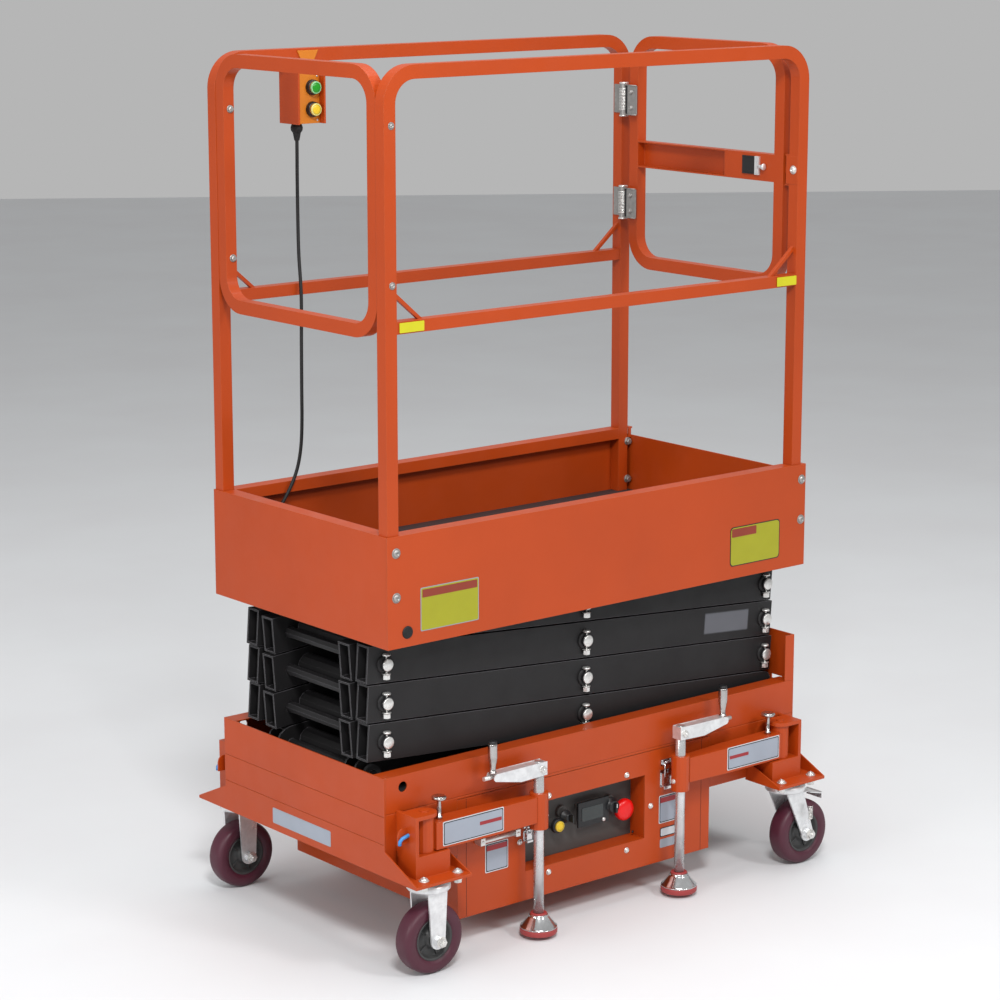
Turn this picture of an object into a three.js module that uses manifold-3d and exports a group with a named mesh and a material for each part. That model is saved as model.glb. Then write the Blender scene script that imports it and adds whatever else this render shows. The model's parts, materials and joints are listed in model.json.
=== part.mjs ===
// Self-propelled mini scissor lift: a wheeled tub, four scissor levels, a railed platform.
// Millimetres, +Z up. +X runs along the machine towards the gate and the swivel casters,
// -Y is the side with the lower control panel.
import * as THREE from "three";
import { mergeVertices } from "three/addons/utils/BufferGeometryUtils.js";
import Module from "manifold-3d";

// ---- Clearances -------------------------------------------------------------------------
const seatGap = 0.3; // between two pieces that touch
const pinGap = 0.4; // radial, shaft in its hole

// ---- Platform ---------------------------------------------------------------------------
const platformLength = 1170;
const platformWidth = 609;
const boardBottom = 683;
const boardTop = 912.5;
const boardSheet = 3;
const boardFlange = 33;
const boardLip = 25;
const entryBoardTop = 893;
const deckSheet = 3;
const treadHeight = 1; // raised sheet that is walked on
const treadEdge = 58; // strip around it where the posts stand
const postSide = 28;
const postSetback = 3; // from the board's outer end to the post
const rightPostSetback = 13;
const railTop = 1835;
const railBendRadius = 75;
const midRailBottom = 1314;
const midRailSide = 25;
const endFrameBottom = 1300;
const braceRun = 62;
const braceRise = 62;
const braceThickness = 8;

// ---- Gate -------------------------------------------------------------------------------
const gateNearY = -254;
const gateFarY = 246;
const gateBarBottom = 1534;
const gateBarHeight = 60;
const gateBarDepth = 24;
const gateBarSheet = 3;
const gateLatchWidth = 158; // closed stretch of the bar that carries the latch
const gateTongueReach = 10;
const hingeY = 256;
const hingeBarrelRadius = 9;
const hingeHeight = 65;
const hingeHeights = [1451, 1688];

// ---- Platform control box ---------------------------------------------------------------
const controlBoxWidth = 71;
const controlBoxDepth = 69;
const controlBoxHeight = 113;
const controlBoxX = -350.5;
const controlBoxBottom = 1677;
const controlBoxRecess = 17;
const controlBoxWall = 4;
const bezelSheet = 3;
const buttonRadius = 13;
const buttonReach = 12;

// ---- Control cable ----------------------------------------------------------------------
const cableDiameter = 7.5;
const glandLength = 36;
const grommetLength = 24;
const grommetRadius = 11;
const grommetX = -500;
const cableY = 261;

// ---- Scissor pack -----------------------------------------------------------------------
const levels = 4;
const pinToPin = 1078;
const levelRise = 81.75;
const lowestPinZ = 386;
const leftPinX = -536;
const packCentreY = -15.5;
const armHeight = 78;
const armWidth = 38;
const armWall = 4;
const outerFace = 212; // from the pack's centre to the outer arm's outer face
const planeGap = 20; // between the outer and inner arms
const leftOverhang = 43;
const rightOverhang = 23;
const terminalCornerRadius = 20;
const shaftRadius = 12;
const pinHeadRadius = 14;
const pinHeadHeight = 12;
const crossTubeRadius = 25;
const crossTubeOffset = 45;
const rollerRadius = 17;
const rollerWidth = 26;
const rollerSetback = 4.5;
const lugThickness = 8;
const lugRadius = 22;
const trackSheet = 3;
const trackStartX = 60;

// ---- Lift cylinder ----------------------------------------------------------------------
const barrelRadius = 30;
const rodRadius = 15;
const barrelLength = 350;
const rodLength = 372;
const eyeWidth = 34;
const eyeRadius = 24;
const barrelPinAt = 760; // along the lowest inner arm, from its left pin
const rodEyeAt = 340; // along the second inner arm, from its left pin
const lugReach = 98; // from the rod eye back to the bar that carries its lugs
const barrelPinRadius = 12;

// ---- Chassis ----------------------------------------------------------------------------
const tubLeft = -583.7;
const tubRight = 580;
const tubHalfWidth = 285.5;
const tubTop = 411;
const tubSheet = 3;
const tubFlange = 40;
const tubFloor = 331;
const tubSeam = 329;
const lowerSeam = 270;
const seamDepth = 1;
const seamWidth = 2;
const rightEndTop = 517;
const rightEndReturn = 27;
const skirtTop = 257;
const accessHoleRadius = 7;

const mountPlateBottom = 203;
const mountPlateSheet = 6;
const mountPlateReach = 390; // from the centre line to the plate's outer edge
const mountPlateLength = 143;

// ---- Lower housing ----------------------------------------------------------------------
const housingLeft = -395;
const housingRight = 322;
const housingBottom = 68;
const windowLeft = -212;
const windowRight = 128;
const windowBottom = 132;
const windowTop = 276;
const recessDepth = 50;
const recessSheet = 2;
const panelSheet = 3;
const stopButtonRadius = 23;

// ---- Outriggers and jacks ---------------------------------------------------------------
const outriggerMidX = -6;
const hingeToMid = 506;
const jackToMid = 202;
const outriggerY = 325; // from the centre line to the hinge and jack axes
const bracketTop = 339;
const bracketSheet = 8;
const bracketBlockTop = 255;
const armBottom = 258;
const armTopAtHinge = 316;
const armTopAtSleeve = 311;
const armThickAtHinge = 40;
const armThickAtSleeve = 26;
const knuckleRadius = 20;
const hingePinRadius = 9;
const sleeveRadius = 20;
const sleeveBottom = 239;
const sleeveTop = 318;
const legRadius = 11;
const footRadius = 40;
const footNeckRadius = 20;
const footTop = 48;
const footRimTop = 21;
const footGround = 8;
const crankZ = 369;
const crankReach = 131;
const crankWidth = 26;
const crankHandleTop = 453;

// ---- Casters ----------------------------------------------------------------------------
const wheelRadius = 74;
const wheelWidth = 46;
const wheelTreadCrown = 6;
const casterY = 337;
const rigidX = -511.5;
const swivelX = 509;
const swivelTrail = 42.6;
const forkSheet = 4;
const forkPlateSheet = 4;
const forkPlateLength = 100;
const forkPlateWidth = 84;
const forkGap = 5;
const axleRadius = 6;
const forkLegTop = 50;
const forkLegBottom = 36;
const swivelRingRadius = 36;
const swivelRingHeight = 14;

// ---- Derived ----------------------------------------------------------------------------
const restAngle = Math.asin(levelRise / pinToPin);
const rightPinX = leftPinX + pinToPin * Math.cos(restAngle);
const highestPinZ = lowestPinZ + levels * levelRise;
const innerFace = outerFace - armWidth - planeGap; // inner arm's outer face from pack centre
const deckBottom = highestPinZ + armHeight / 2 + 5.5;
const deckTop = deckBottom + deckSheet;
const postLeft = -platformLength / 2 + postSetback;
const postRight = platformLength / 2 - rightPostSetback;
const postOuterY = platformWidth / 2 - boardSheet - seatGap;
const postInnerY = postOuterY - postSide;
const swivelAxleX = swivelX + swivelTrail;
const originX = (swivelAxleX + wheelRadius - platformLength / 2) / 2;

// ---- Solid helpers ----------------------------------------------------------------------
const wasm = await Module();
wasm.setup();
const { Manifold, Mesh: SolidMesh } = wasm;

function solid(geometry) {
  const bare = geometry.clone();
  bare.deleteAttribute("normal");
  bare.deleteAttribute("uv");
  const merged = mergeVertices(bare, 1e-4);
  return new Manifold(
    new SolidMesh({
      numProp: 3,
      vertProperties: new Float32Array(merged.attributes.position.array),
      triVerts: new Uint32Array(merged.index.array),
    }),
  );
}

function toGeometry(body) {
  const { vertProperties, triVerts } = body.getMesh();
  const geometry = new THREE.BufferGeometry();
  geometry.setAttribute("position", new THREE.BufferAttribute(new Float32Array(vertProperties), 3));
  geometry.setIndex(new THREE.BufferAttribute(new Uint32Array(triVerts), 1));
  geometry.computeVertexNormals();
  return geometry;
}

const join = (first, ...rest) => rest.reduce((sum, next) => sum.add(next), first);
const cut = (first, ...rest) => rest.reduce((left, next) => left.subtract(next), first);

function box(x0, x1, y0, y1, z0, z1) {
  const geometry = new THREE.BoxGeometry(x1 - x0, y1 - y0, z1 - z0);
  return solid(geometry.translate((x0 + x1) / 2, (y0 + y1) / 2, (z0 + z1) / 2));
}

// A flat outline pushed along one axis. The outline's own axes are Y,Z for "x", X,Z for "y"
// and X,Y for "z".
const outlineAxes = {
  x: [[0, 1, 0], [0, 0, 1], [1, 0, 0]],
  y: [[1, 0, 0], [0, 0, 1], [0, -1, 0]],
  z: [[1, 0, 0], [0, 1, 0], [0, 0, 1]],
};

function prism(shape, axis, from, to, curveSegments = 5) {
  const geometry = new THREE.ExtrudeGeometry(shape, {
    depth: to - from,
    bevelEnabled: false,
    curveSegments,
  });
  const turn = new THREE.Matrix4().makeBasis(
    ...outlineAxes[axis].map((column) => new THREE.Vector3(...column)),
  );
  const start = axis === "y" ? [0, to, 0] : axis === "x" ? [from, 0, 0] : [0, 0, from];
  return solid(geometry.applyMatrix4(turn).translate(...start));
}

const polygon = (points) => new THREE.Shape(points.map(([a, b]) => new THREE.Vector2(a, b)));

function cylinder(axis, radius, at, from, to, segments = 16, topRadius = radius) {
  const geometry = new THREE.CylinderGeometry(topRadius, radius, to - from, segments);
  geometry.translate(0, (from + to) / 2, 0);
  if (axis === "z") {
    geometry.rotateX(Math.PI / 2);
    geometry.translate(at[0], at[1], 0);
  } else if (axis === "x") {
    geometry.rotateZ(-Math.PI / 2);
    geometry.translate(0, at[0], at[1]);
  } else {
    geometry.translate(at[0], 0, at[1]);
  }
  return solid(geometry);
}

// A hole whose flats, not corners, lie at the clearance radius.
const bore = (axis, radius, at, from, to, segments = 16) =>
  cylinder(axis, (radius + pinGap) / Math.cos(Math.PI / segments), at, from, to, segments);

function roundedRect(a0, a1, b0, b1, radius) {
  const shape = new THREE.Shape();
  shape.moveTo(a0 + radius, b0);
  shape.lineTo(a1 - radius, b0);
  shape.absarc(a1 - radius, b0 + radius, radius, -Math.PI / 2, 0);
  shape.lineTo(a1, b1 - radius);
  shape.absarc(a1 - radius, b1 - radius, radius, 0, Math.PI / 2);
  shape.lineTo(a0 + radius, b1);
  shape.absarc(a0 + radius, b1 - radius, radius, Math.PI / 2, Math.PI);
  shape.lineTo(a0, b0 + radius);
  shape.absarc(a0 + radius, b0 + radius, radius, Math.PI, 1.5 * Math.PI);
  return shape;
}

// A square tube bent into a closed loop, seen flat.
function loopBand(a0, a1, b0, b1, side, radius) {
  const shape = roundedRect(a0, a1, b0, b1, radius);
  shape.holes.push(roundedRect(a0 + side, a1 - side, b0 + side, b1 - side, radius - side));
  return shape;
}

// A square tube bent into an upside-down U, seen flat.
function archBand(a0, a1, b0, b1, side, radius) {
  const inner = radius - side;
  const shape = new THREE.Shape();
  shape.moveTo(a0, b0);
  shape.lineTo(a0 + side, b0);
  shape.lineTo(a0 + side, b1 - radius);
  shape.absarc(a0 + radius, b1 - radius, inner, Math.PI, Math.PI / 2, true);
  shape.lineTo(a1 - radius, b1 - side);
  shape.absarc(a1 - radius, b1 - radius, inner, Math.PI / 2, 0, true);
  shape.lineTo(a1 - side, b0);
  shape.lineTo(a1, b0);
  shape.lineTo(a1, b1 - radius);
  shape.absarc(a1 - radius, b1 - radius, radius, 0, Math.PI / 2);
  shape.lineTo(a0 + radius, b1);
  shape.absarc(a0 + radius, b1 - radius, radius, Math.PI / 2, Math.PI);
  return shape;
}

// Turned about a horizontal axis along Y through (x, z). Positive lifts +X towards +Z.
function tilt(body, angle, x, z) {
  const degrees = THREE.MathUtils.radToDeg(angle);
  return body.translate([-x, 0, -z]).rotate([0, -degrees, 0]).translate([x, 0, z]);
}

const mirrorY = (body) => body.mirror([0, 1, 0]);

// ---- Finishes ---------------------------------------------------------------------------
const finish = {
  orange: [0xc4552f, 0.45, 0.1],
  dark: [0x454345, 0.6, 0.3],
  zinc: [0xc9cacb, 0.35, 0.9],
  rubber: [0x55202e, 0.7, 0],
  amber: [0xe08a1a, 0.4, 0],
  black: [0x161616, 0.6, 0],
  panel: [0x2b2c2d, 0.6, 0],
  red: [0xb80a0a, 0.35, 0],
  steel: [0x6b6c70, 0.5, 0.7],
};

const model = new THREE.Group();
model.position.x = -originX;

function part(name, finishName, body) {
  const [color, roughness, metalness] = finish[finishName];
  const material = new THREE.MeshStandardMaterial({ color, roughness, metalness });
  const mesh = new THREE.Mesh(toGeometry(body), material);
  mesh.name = name;
  model.add(mesh);
}

// ---- Chassis sides ----------------------------------------------------------------------
// Built on the -Y side. The wall is open below the seam where the lower housing hangs.
const trackLedgeInner = {
  near: -(packCentreY - outerFace) + 5,
  far: packCentreY + outerFace + 5,
};

function chassisSide(side) {
  const plateTop = mountPlateBottom + mountPlateSheet + seatGap;
  const endClear = tubSheet + seatGap;
  const outer = -tubHalfWidth;
  const left = tubLeft + endClear;
  const right = tubRight - endClear;
  const section = polygon([
    [outer, plateTop],
    [outer + tubSheet, plateTop],
    [outer + tubSheet, tubTop - tubSheet],
    [outer + tubFlange, tubTop - tubSheet],
    [outer + tubFlange, tubTop],
    [outer, tubTop],
  ]);
  const overHousing = box(
    housingLeft - seatGap,
    housingRight + seatGap,
    outer - 5,
    outer + 10,
    plateTop - 5,
    tubSeam,
  );
  const ledgeTop = lowestPinZ - rollerRadius - seatGap;
  const seamBottom = tubSeam + 4;
  return join(
    cut(
      prism(section, "x", left, right),
      overHousing,
      box(left - 1, right + 1, outer - 1, outer + seamDepth, seamBottom, seamBottom + seamWidth),
      cylinder("y", accessHoleRadius * 1.6, [leftPinX, lowestPinZ], outer - 1, outer + tubSheet + 1),
    ),
    box(trackStartX, right - 2, outer + 1, -trackLedgeInner[side], ledgeTop - trackSheet, ledgeTop),
  );
}

part("chassis_side_near", "orange", chassisSide("near"));
part("chassis_side_far", "orange", mirrorY(chassisSide("far")));

// ---- Chassis ends with caster mounts ----------------------------------------------------
// One end of the tub, built at the left: end plate, two caster mounts and their brackets.
function casterMount(endX, inward, hingeX) {
  const plateInner = endX + inward * mountPlateLength;
  const x0 = Math.min(endX, plateInner);
  const x1 = Math.max(endX, plateInner);
  const plateTop = mountPlateBottom + mountPlateSheet;
  const plate = box(x0, x1, -mountPlateReach, -tubHalfWidth + tubSheet, mountPlateBottom, plateTop);
  const gussetInner = inward > 0 ? plateInner - tubSheet : plateInner;
  const gussetShape = polygon([
    [-mountPlateReach, mountPlateBottom],
    [-tubHalfWidth - seatGap, mountPlateBottom],
    [-tubHalfWidth - seatGap, skirtTop - 10],
    [-mountPlateReach, plateTop],
  ]);
  const gusset = prism(gussetShape, "x", gussetInner, gussetInner + tubSheet);
  const back = hingeX - inward * 42;
  const front = hingeX + inward * 46;
  const bx0 = Math.min(back, front);
  const bx1 = Math.max(back, front);
  const y0 = -outriggerY - knuckleRadius - 6;
  const y1 = -tubHalfWidth - seatGap;
  const block = box(bx0, bx1, y0, y1 - 3, plateTop - 1, bracketBlockTop);
  const upright = box(
    Math.min(back, back + inward * bracketSheet),
    Math.max(back, back + inward * bracketSheet),
    y0,
    y1,
    bracketBlockTop - 1,
    bracketTop,
  );
  const ear = join(
    box(
      Math.min(back, hingeX),
      Math.max(back, hingeX),
      y0,
      -outriggerY + knuckleRadius + 6,
      bracketTop - bracketSheet,
      bracketTop,
    ),
    cylinder("z", knuckleRadius + 6, [hingeX, -outriggerY], bracketTop - bracketSheet, bracketTop),
  );
  const pin = cylinder("z", hingePinRadius, [hingeX, -outriggerY], bracketBlockTop - 2, bracketTop + 3, 12);
  return join(plate, gusset, block, upright, ear, pin);
}

function chassisEnd(endX, inward, top, hingeX) {
  const x0 = inward > 0 ? endX : endX - tubSheet;
  const shape = polygon([
    [-mountPlateReach, mountPlateBottom],
    [mountPlateReach, mountPlateBottom],
    [mountPlateReach, mountPlateBottom + mountPlateSheet],
    [tubHalfWidth, skirtTop],
    [tubHalfWidth, top],
    [-tubHalfWidth, top],
    [-tubHalfWidth, skirtTop],
    [-mountPlateReach, mountPlateBottom + mountPlateSheet],
  ]);
  const mount = casterMount(endX, inward, hingeX);
  return join(prism(shape, "x", x0, x0 + tubSheet), mount, mirrorY(mount));
}

const leftEnd = chassisEnd(tubLeft, 1, tubTop, outriggerMidX - hingeToMid);
const leftGrooves = [tubSeam, lowerSeam].map((z) =>
  box(tubLeft - 1, tubLeft + seamDepth, -tubHalfWidth - 1, tubHalfWidth + 1, z, z + seamWidth),
);
part("chassis_end_rear", "orange", cut(leftEnd, ...leftGrooves));

const returnFold = box(
  tubRight - rightEndReturn,
  tubRight,
  -tubHalfWidth,
  -tubHalfWidth + tubSheet,
  tubTop + seatGap,
  rightEndTop,
);
const rightEnd = chassisEnd(tubRight, -1, rightEndTop, outriggerMidX + hingeToMid);
const cableSlot = box(tubRight - tubSheet - 1, tubRight + 1, -252, -218, tubTop - 9, tubTop + 1);
part("chassis_end_gate", "orange", cut(join(rightEnd, returnFold, mirrorY(returnFold)), cableSlot));

// ---- Tub floor with the scissor's fixed lugs ---------------------------------------------
const lugCentre = innerFace + planeGap / 2;
const lugSides = [packCentreY - lugCentre, packCentreY + lugCentre];

function lug(y, pinZ, rootZ) {
  const web = box(
    leftPinX - lugRadius,
    leftPinX + lugRadius,
    y - lugThickness / 2,
    y + lugThickness / 2,
    Math.min(pinZ, rootZ),
    Math.max(pinZ, rootZ),
  );
  const round = cylinder("y", lugRadius, [leftPinX, pinZ], y - lugThickness / 2, y + lugThickness / 2);
  const hole = bore("y", shaftRadius, [leftPinX, pinZ], y - lugThickness, y + lugThickness);
  return cut(join(web, round), hole);
}

const floorPlate = box(
  tubLeft + tubSheet + seatGap,
  tubRight - tubSheet - seatGap,
  -tubHalfWidth + tubSheet + seatGap,
  tubHalfWidth - tubSheet - seatGap,
  tubFloor - tubSheet,
  tubFloor,
);
part("tub_floor", "dark", join(floorPlate, ...lugSides.map((y) => lug(y, lowestPinZ, tubFloor - 1))));

// ---- Lower housing ----------------------------------------------------------------------
const housingTop = tubFloor - tubSheet - seatGap;
const housingShell = cut(
  box(housingLeft, housingRight, -tubHalfWidth, tubHalfWidth, housingBottom, housingTop),
  box(
    housingLeft + tubSheet,
    housingRight - tubSheet,
    -tubHalfWidth + tubSheet,
    tubHalfWidth - tubSheet,
    housingBottom + tubSheet,
    housingTop + 1,
  ),
  box(windowLeft, windowRight, -tubHalfWidth - 1, -tubHalfWidth + tubSheet + 1, windowBottom, windowTop),
);
part("lower_housing", "orange", housingShell);

const recessFront = -tubHalfWidth + tubSheet + seatGap;
const recessBack = -tubHalfWidth + recessDepth;
const recessBody = cut(
  box(
    windowLeft - recessSheet,
    windowRight + recessSheet,
    recessFront,
    recessBack,
    windowBottom - recessSheet,
    windowTop + recessSheet,
  ),
  box(windowLeft, windowRight, recessFront - 1, recessBack + 1, windowBottom, windowTop),
);
part("control_recess", "orange", recessBody);

const panelFront = recessBack - panelSheet - 1;
const panelControls = [
  cylinder("y", 12, [-100, 203], panelFront - 16, panelFront + 1, 12),
  cylinder("y", 14, [-76, 226], panelFront - 8, panelFront + 1, 12),
  cylinder("y", 11, [58, 226], panelFront - 12, panelFront + 1, 12),
  box(-35, 42, panelFront - 4, panelFront + 1, 188, 234),
];
const panelBody = join(
  box(
    windowLeft + seatGap,
    windowRight - seatGap,
    panelFront,
    panelFront + panelSheet,
    windowBottom + seatGap,
    windowTop - seatGap,
  ),
  ...panelControls,
);
part("lower_control_panel", "panel", panelBody);

const stopX = 88;
const stopZ = 201;
const stopBack = panelFront - seatGap;
part(
  "emergency_stop",
  "red",
  join(
    cylinder("y", 13, [stopX, stopZ], stopBack - 14, stopBack, 16),
    cylinder("y", stopButtonRadius, [stopX, stopZ], stopBack - 34, stopBack - 12, 20),
  ),
);

part(
  "battery_and_pump_block",
  "dark",
  box(-340, 280, -210, 240, housingBottom + tubSheet + seatGap, 250),
);

// ---- Casters ----------------------------------------------------------------------------
const wheelSegments = 24;

function wheelProfile() {
  const half = wheelWidth / 2;
  const inside = (axleRadius + pinGap) / Math.cos(Math.PI / wheelSegments);
  const hubRadius = 24;
  const webHalf = 7;
  const rimRadius = wheelRadius - 20;
  return [
    [inside, -half],
    [hubRadius, -half],
    [hubRadius + 4, -webHalf],
    [rimRadius - 3, -webHalf],
    [rimRadius, -half + 3],
    [wheelRadius - 6, -half + 1],
    [wheelRadius, -half + wheelTreadCrown + 6],
    [wheelRadius, half - wheelTreadCrown - 6],
    [wheelRadius - 6, half - 1],
    [rimRadius, half - 3],
    [rimRadius - 3, webHalf],
    [hubRadius + 4, webHalf],
    [hubRadius, half],
    [inside, half],
    [inside, -half],
  ].map(([radius, along]) => new THREE.Vector2(radius, along));
}

const wheelAt = (x, y) =>
  solid(new THREE.LatheGeometry(wheelProfile(), wheelSegments)).translate([x, y, wheelRadius]);

// Fork legs, top plate and axle. The legs lean from the plate at topX to the axle.
function fork(topX, axleX, y, plateTop) {
  const legTop = plateTop - forkPlateSheet;
  const legHalf = wheelWidth / 2 + forkGap;
  const shape = new THREE.Shape();
  shape.moveTo(topX - forkLegTop / 2, legTop + 1);
  shape.lineTo(axleX - forkLegBottom / 2, wheelRadius);
  shape.absarc(axleX, wheelRadius, forkLegBottom / 2, Math.PI, 2 * Math.PI);
  shape.lineTo(topX + forkLegTop / 2, legTop + 1);
  const legs = [-1, 1].map((side) => {
    const inner = y + side * legHalf;
    const outer = y + side * (legHalf + forkSheet);
    return prism(shape, "y", Math.min(inner, outer), Math.max(inner, outer), 6);
  });
  const reach = legHalf + forkSheet + 8;
  return join(
    ...legs,
    cylinder("y", axleRadius, [axleX, wheelRadius], y - reach + 2, y + reach - 2, 12),
    cylinder("y", axleRadius + 5, [axleX, wheelRadius], y - reach, y - legHalf - forkSheet + 1, 6),
    cylinder("y", axleRadius + 5, [axleX, wheelRadius], y + legHalf + forkSheet - 1, y + reach, 6),
  );
}

const topPlate = (x, y, top) =>
  box(
    x - forkPlateLength / 2,
    x + forkPlateLength / 2,
    y - forkPlateWidth / 2,
    y + forkPlateWidth / 2,
    top - forkPlateSheet,
    top,
  );

const casterTop = mountPlateBottom - seatGap;
const sides = [
  ["near", -1],
  ["far", 1],
];

for (const [side, sign] of sides) {
  const y = sign * casterY;
  part(`rigid_fork_${side}`, "zinc", join(fork(rigidX, rigidX, y, casterTop), topPlate(rigidX, y, casterTop)));
  part(`rear_wheel_${side}`, "rubber", wheelAt(rigidX, y));

  const ringBottom = casterTop - forkPlateSheet - swivelRingHeight;
  const swivelTop = ringBottom - 0.5;
  const ring = cylinder("z", swivelRingRadius, [swivelX, y], ringBottom, casterTop - 1, 20);
  part(`swivel_plate_${side}`, "zinc", join(topPlate(swivelX, y, casterTop), ring));
  const crown = cylinder("z", swivelRingRadius - 2, [swivelX, y], swivelTop - forkPlateSheet, swivelTop, 20);
  const crownBridge = box(
    swivelX - 20,
    swivelX + 20,
    y - wheelWidth / 2 - forkGap - 1,
    y + wheelWidth / 2 + forkGap + 1,
    swivelTop - forkPlateSheet,
    swivelTop,
  );
  part(
    `swivel_fork_${side}`,
    "zinc",
    join(fork(swivelX, swivelAxleX, y, swivelTop), crown, crownBridge),
  );
  part(`front_wheel_${side}`, "rubber", wheelAt(swivelAxleX, y));
}

// ---- Outriggers and jacks ---------------------------------------------------------------
// Built for the -Y side with the hinge at x = 0 and the arm running towards +X.
const armSpan = hingeToMid - jackToMid;

function outriggerArm() {
  const start = knuckleRadius - 4;
  const end = armSpan - sleeveRadius + 4;
  const sideShape = polygon([
    [start, armBottom],
    [end, armBottom - 2],
    [end, armTopAtSleeve],
    [armSpan * 0.6, armTopAtSleeve + 2],
    [start, armTopAtHinge],
  ]);
  const topShape = polygon([
    [0, -armThickAtHinge / 2],
    [armSpan * 0.6, -armThickAtHinge / 2],
    [armSpan, -armThickAtSleeve / 2],
    [armSpan, armThickAtSleeve / 2],
    [armSpan * 0.6, armThickAtHinge / 2],
    [0, armThickAtHinge / 2],
  ]);
  const web = prism(sideShape, "y", -armThickAtHinge, armThickAtHinge).intersect(
    prism(topShape, "z", armBottom - 10, bracketTop),
  );
  const knuckleTop = bracketTop - bracketSheet - seatGap;
  const knuckleBottom = bracketBlockTop + seatGap;
  return cut(
    join(
      web,
      cylinder("z", knuckleRadius, [0, 0], knuckleBottom, knuckleTop, 16),
      cylinder("z", sleeveRadius, [armSpan, 0], sleeveBottom, sleeveTop, 16),
    ),
    bore("z", hingePinRadius, [0, 0], knuckleBottom - 1, knuckleTop + 1),
    bore("z", legRadius, [armSpan, 0], sleeveBottom - 1, sleeveTop + 1),
  );
}

function jack() {
  const leg = cylinder("z", legRadius, [armSpan, 0], footRimTop, crankZ + 14, 16);
  const foot = join(
    cylinder("z", footRadius, [armSpan, 0], footGround, footRimTop, 24),
    cylinder("z", footRadius - 2, [armSpan, 0], footRimTop - 1, footTop, 24, footNeckRadius),
  );
  const crankShape = polygon([
    [armSpan + 12, crankZ - 9],
    [armSpan + 12, crankZ + 17],
    [armSpan - crankReach, crankZ + 15],
    [armSpan - crankReach, crankZ - 5],
    [armSpan - crankReach * 0.45, crankZ - 16],
  ]);
  const crank = prism(crankShape, "y", -crankWidth / 2, crankWidth / 2);
  const handleX = armSpan - crankReach + 6;
  const handle = cylinder("z", 7, [handleX, 0], crankZ, crankHandleTop, 12, 10);
  return join(leg, foot, crank, handle);
}

const arm = outriggerArm();
const jackBody = jack();
for (const [side, sign] of sides) {
  for (const [end, along] of [
    ["rear", 1],
    ["front", -1],
  ]) {
    const place = (body) => {
      const turned = along > 0 ? body : body.mirror([1, 0, 0]);
      const sided = sign < 0 ? turned : mirrorY(turned);
      return sided.translate([outriggerMidX - along * hingeToMid, sign * outriggerY, 0]);
    };
    part(`outrigger_arm_${end}_${side}`, "orange", place(arm));
    part(`jack_${end}_${side}`, "zinc", place(jackBody));
  }
}

// ---- Scissor arms -----------------------------------------------------------------------
// A hollow box arm in its own frame: left pin at the origin, running along +X.
function armOutline(leftRound, rightRound) {
  const half = armHeight / 2;
  const shape = new THREE.Shape();
  if (leftRound) {
    shape.absarc(0, 0, half, Math.PI / 2, 1.5 * Math.PI);
  } else {
    shape.moveTo(-leftOverhang, half);
    shape.lineTo(-leftOverhang, -half);
  }
  const right = pinToPin + rightOverhang;
  const radius = terminalCornerRadius;
  if (rightRound) {
    shape.lineTo(right - radius, -half);
    shape.absarc(right - radius, -half + radius, radius, -Math.PI / 2, 0);
    shape.lineTo(right, half - radius);
    shape.absarc(right - radius, half - radius, radius, 0, Math.PI / 2);
  } else {
    shape.lineTo(right, -half);
    shape.lineTo(right, half);
  }
  return shape;
}

function boxArm(yLow, leftRound, rightRound) {
  const half = armHeight / 2 - armWall;
  const shell = prism(armOutline(leftRound, rightRound), "y", yLow, yLow + armWidth, 4);
  const reach = pinToPin + 100;
  const hollow = box(-100, reach, yLow + armWall, yLow + armWidth - armWall, -half, half);
  return cut(shell, hollow);
}

const nearOuterY = packCentreY - outerFace;
const farOuterY = packCentreY + outerFace - armWidth;
const nearInnerY = packCentreY - innerFace;
const farInnerY = packCentreY + innerFace - armWidth;
const midPin = pinToPin / 2;

function roller(at, nearFace, farFace) {
  const near = nearFace - rollerSetback;
  const far = farFace + rollerSetback;
  return join(
    cylinder("y", rollerRadius, at, near - rollerWidth, near, 12),
    cylinder("y", rollerRadius, at, far, far + rollerWidth, 12),
  );
}

function outerArms(level) {
  const isTop = level === levels - 1;
  const isBottom = level === 0;
  const arms = join(
    ...[nearOuterY, farOuterY].map((y) => boxArm(y, isTop, isBottom)),
  );
  const shaftEnds = [nearOuterY + 1, farOuterY + armWidth - 1];
  const shaftAt = isBottom ? [0] : [0, pinToPin];
  const shafts = shaftAt.map((x) => cylinder("y", shaftRadius, [x, 0], ...shaftEnds, 8));
  const innerReach = innerFace - armWidth;
  const stubs = [
    cylinder("y", shaftRadius, [midPin, 0], nearOuterY + 1, packCentreY - innerReach - 1, 8),
    cylinder("y", shaftRadius, [midPin, 0], packCentreY + innerReach + 1, farOuterY + armWidth - 1, 8),
  ];
  const headed = isBottom ? [0, midPin] : [0, midPin, pinToPin];
  const heads = headed.flatMap((x) => [
    cylinder("y", pinHeadRadius, [x, 0], nearOuterY - pinHeadHeight, nearOuterY + 2, 12),
    cylinder("y", pinHeadRadius, [x, 0], farOuterY + armWidth - 2, farOuterY + armWidth + pinHeadHeight, 12),
  ]);
  let body = join(arms, ...shafts, ...stubs, ...heads);
  if (isBottom) {
    body = cut(body, bore("y", shaftRadius - 2, [pinToPin, 0], nearOuterY - 1, farOuterY + armWidth + 1, 12));
  }
  const pinZ = lowestPinZ + (level + 1) * levelRise;
  return tilt(body.translate([leftPinX, 0, pinZ]), -restAngle, leftPinX, pinZ);
}

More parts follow.
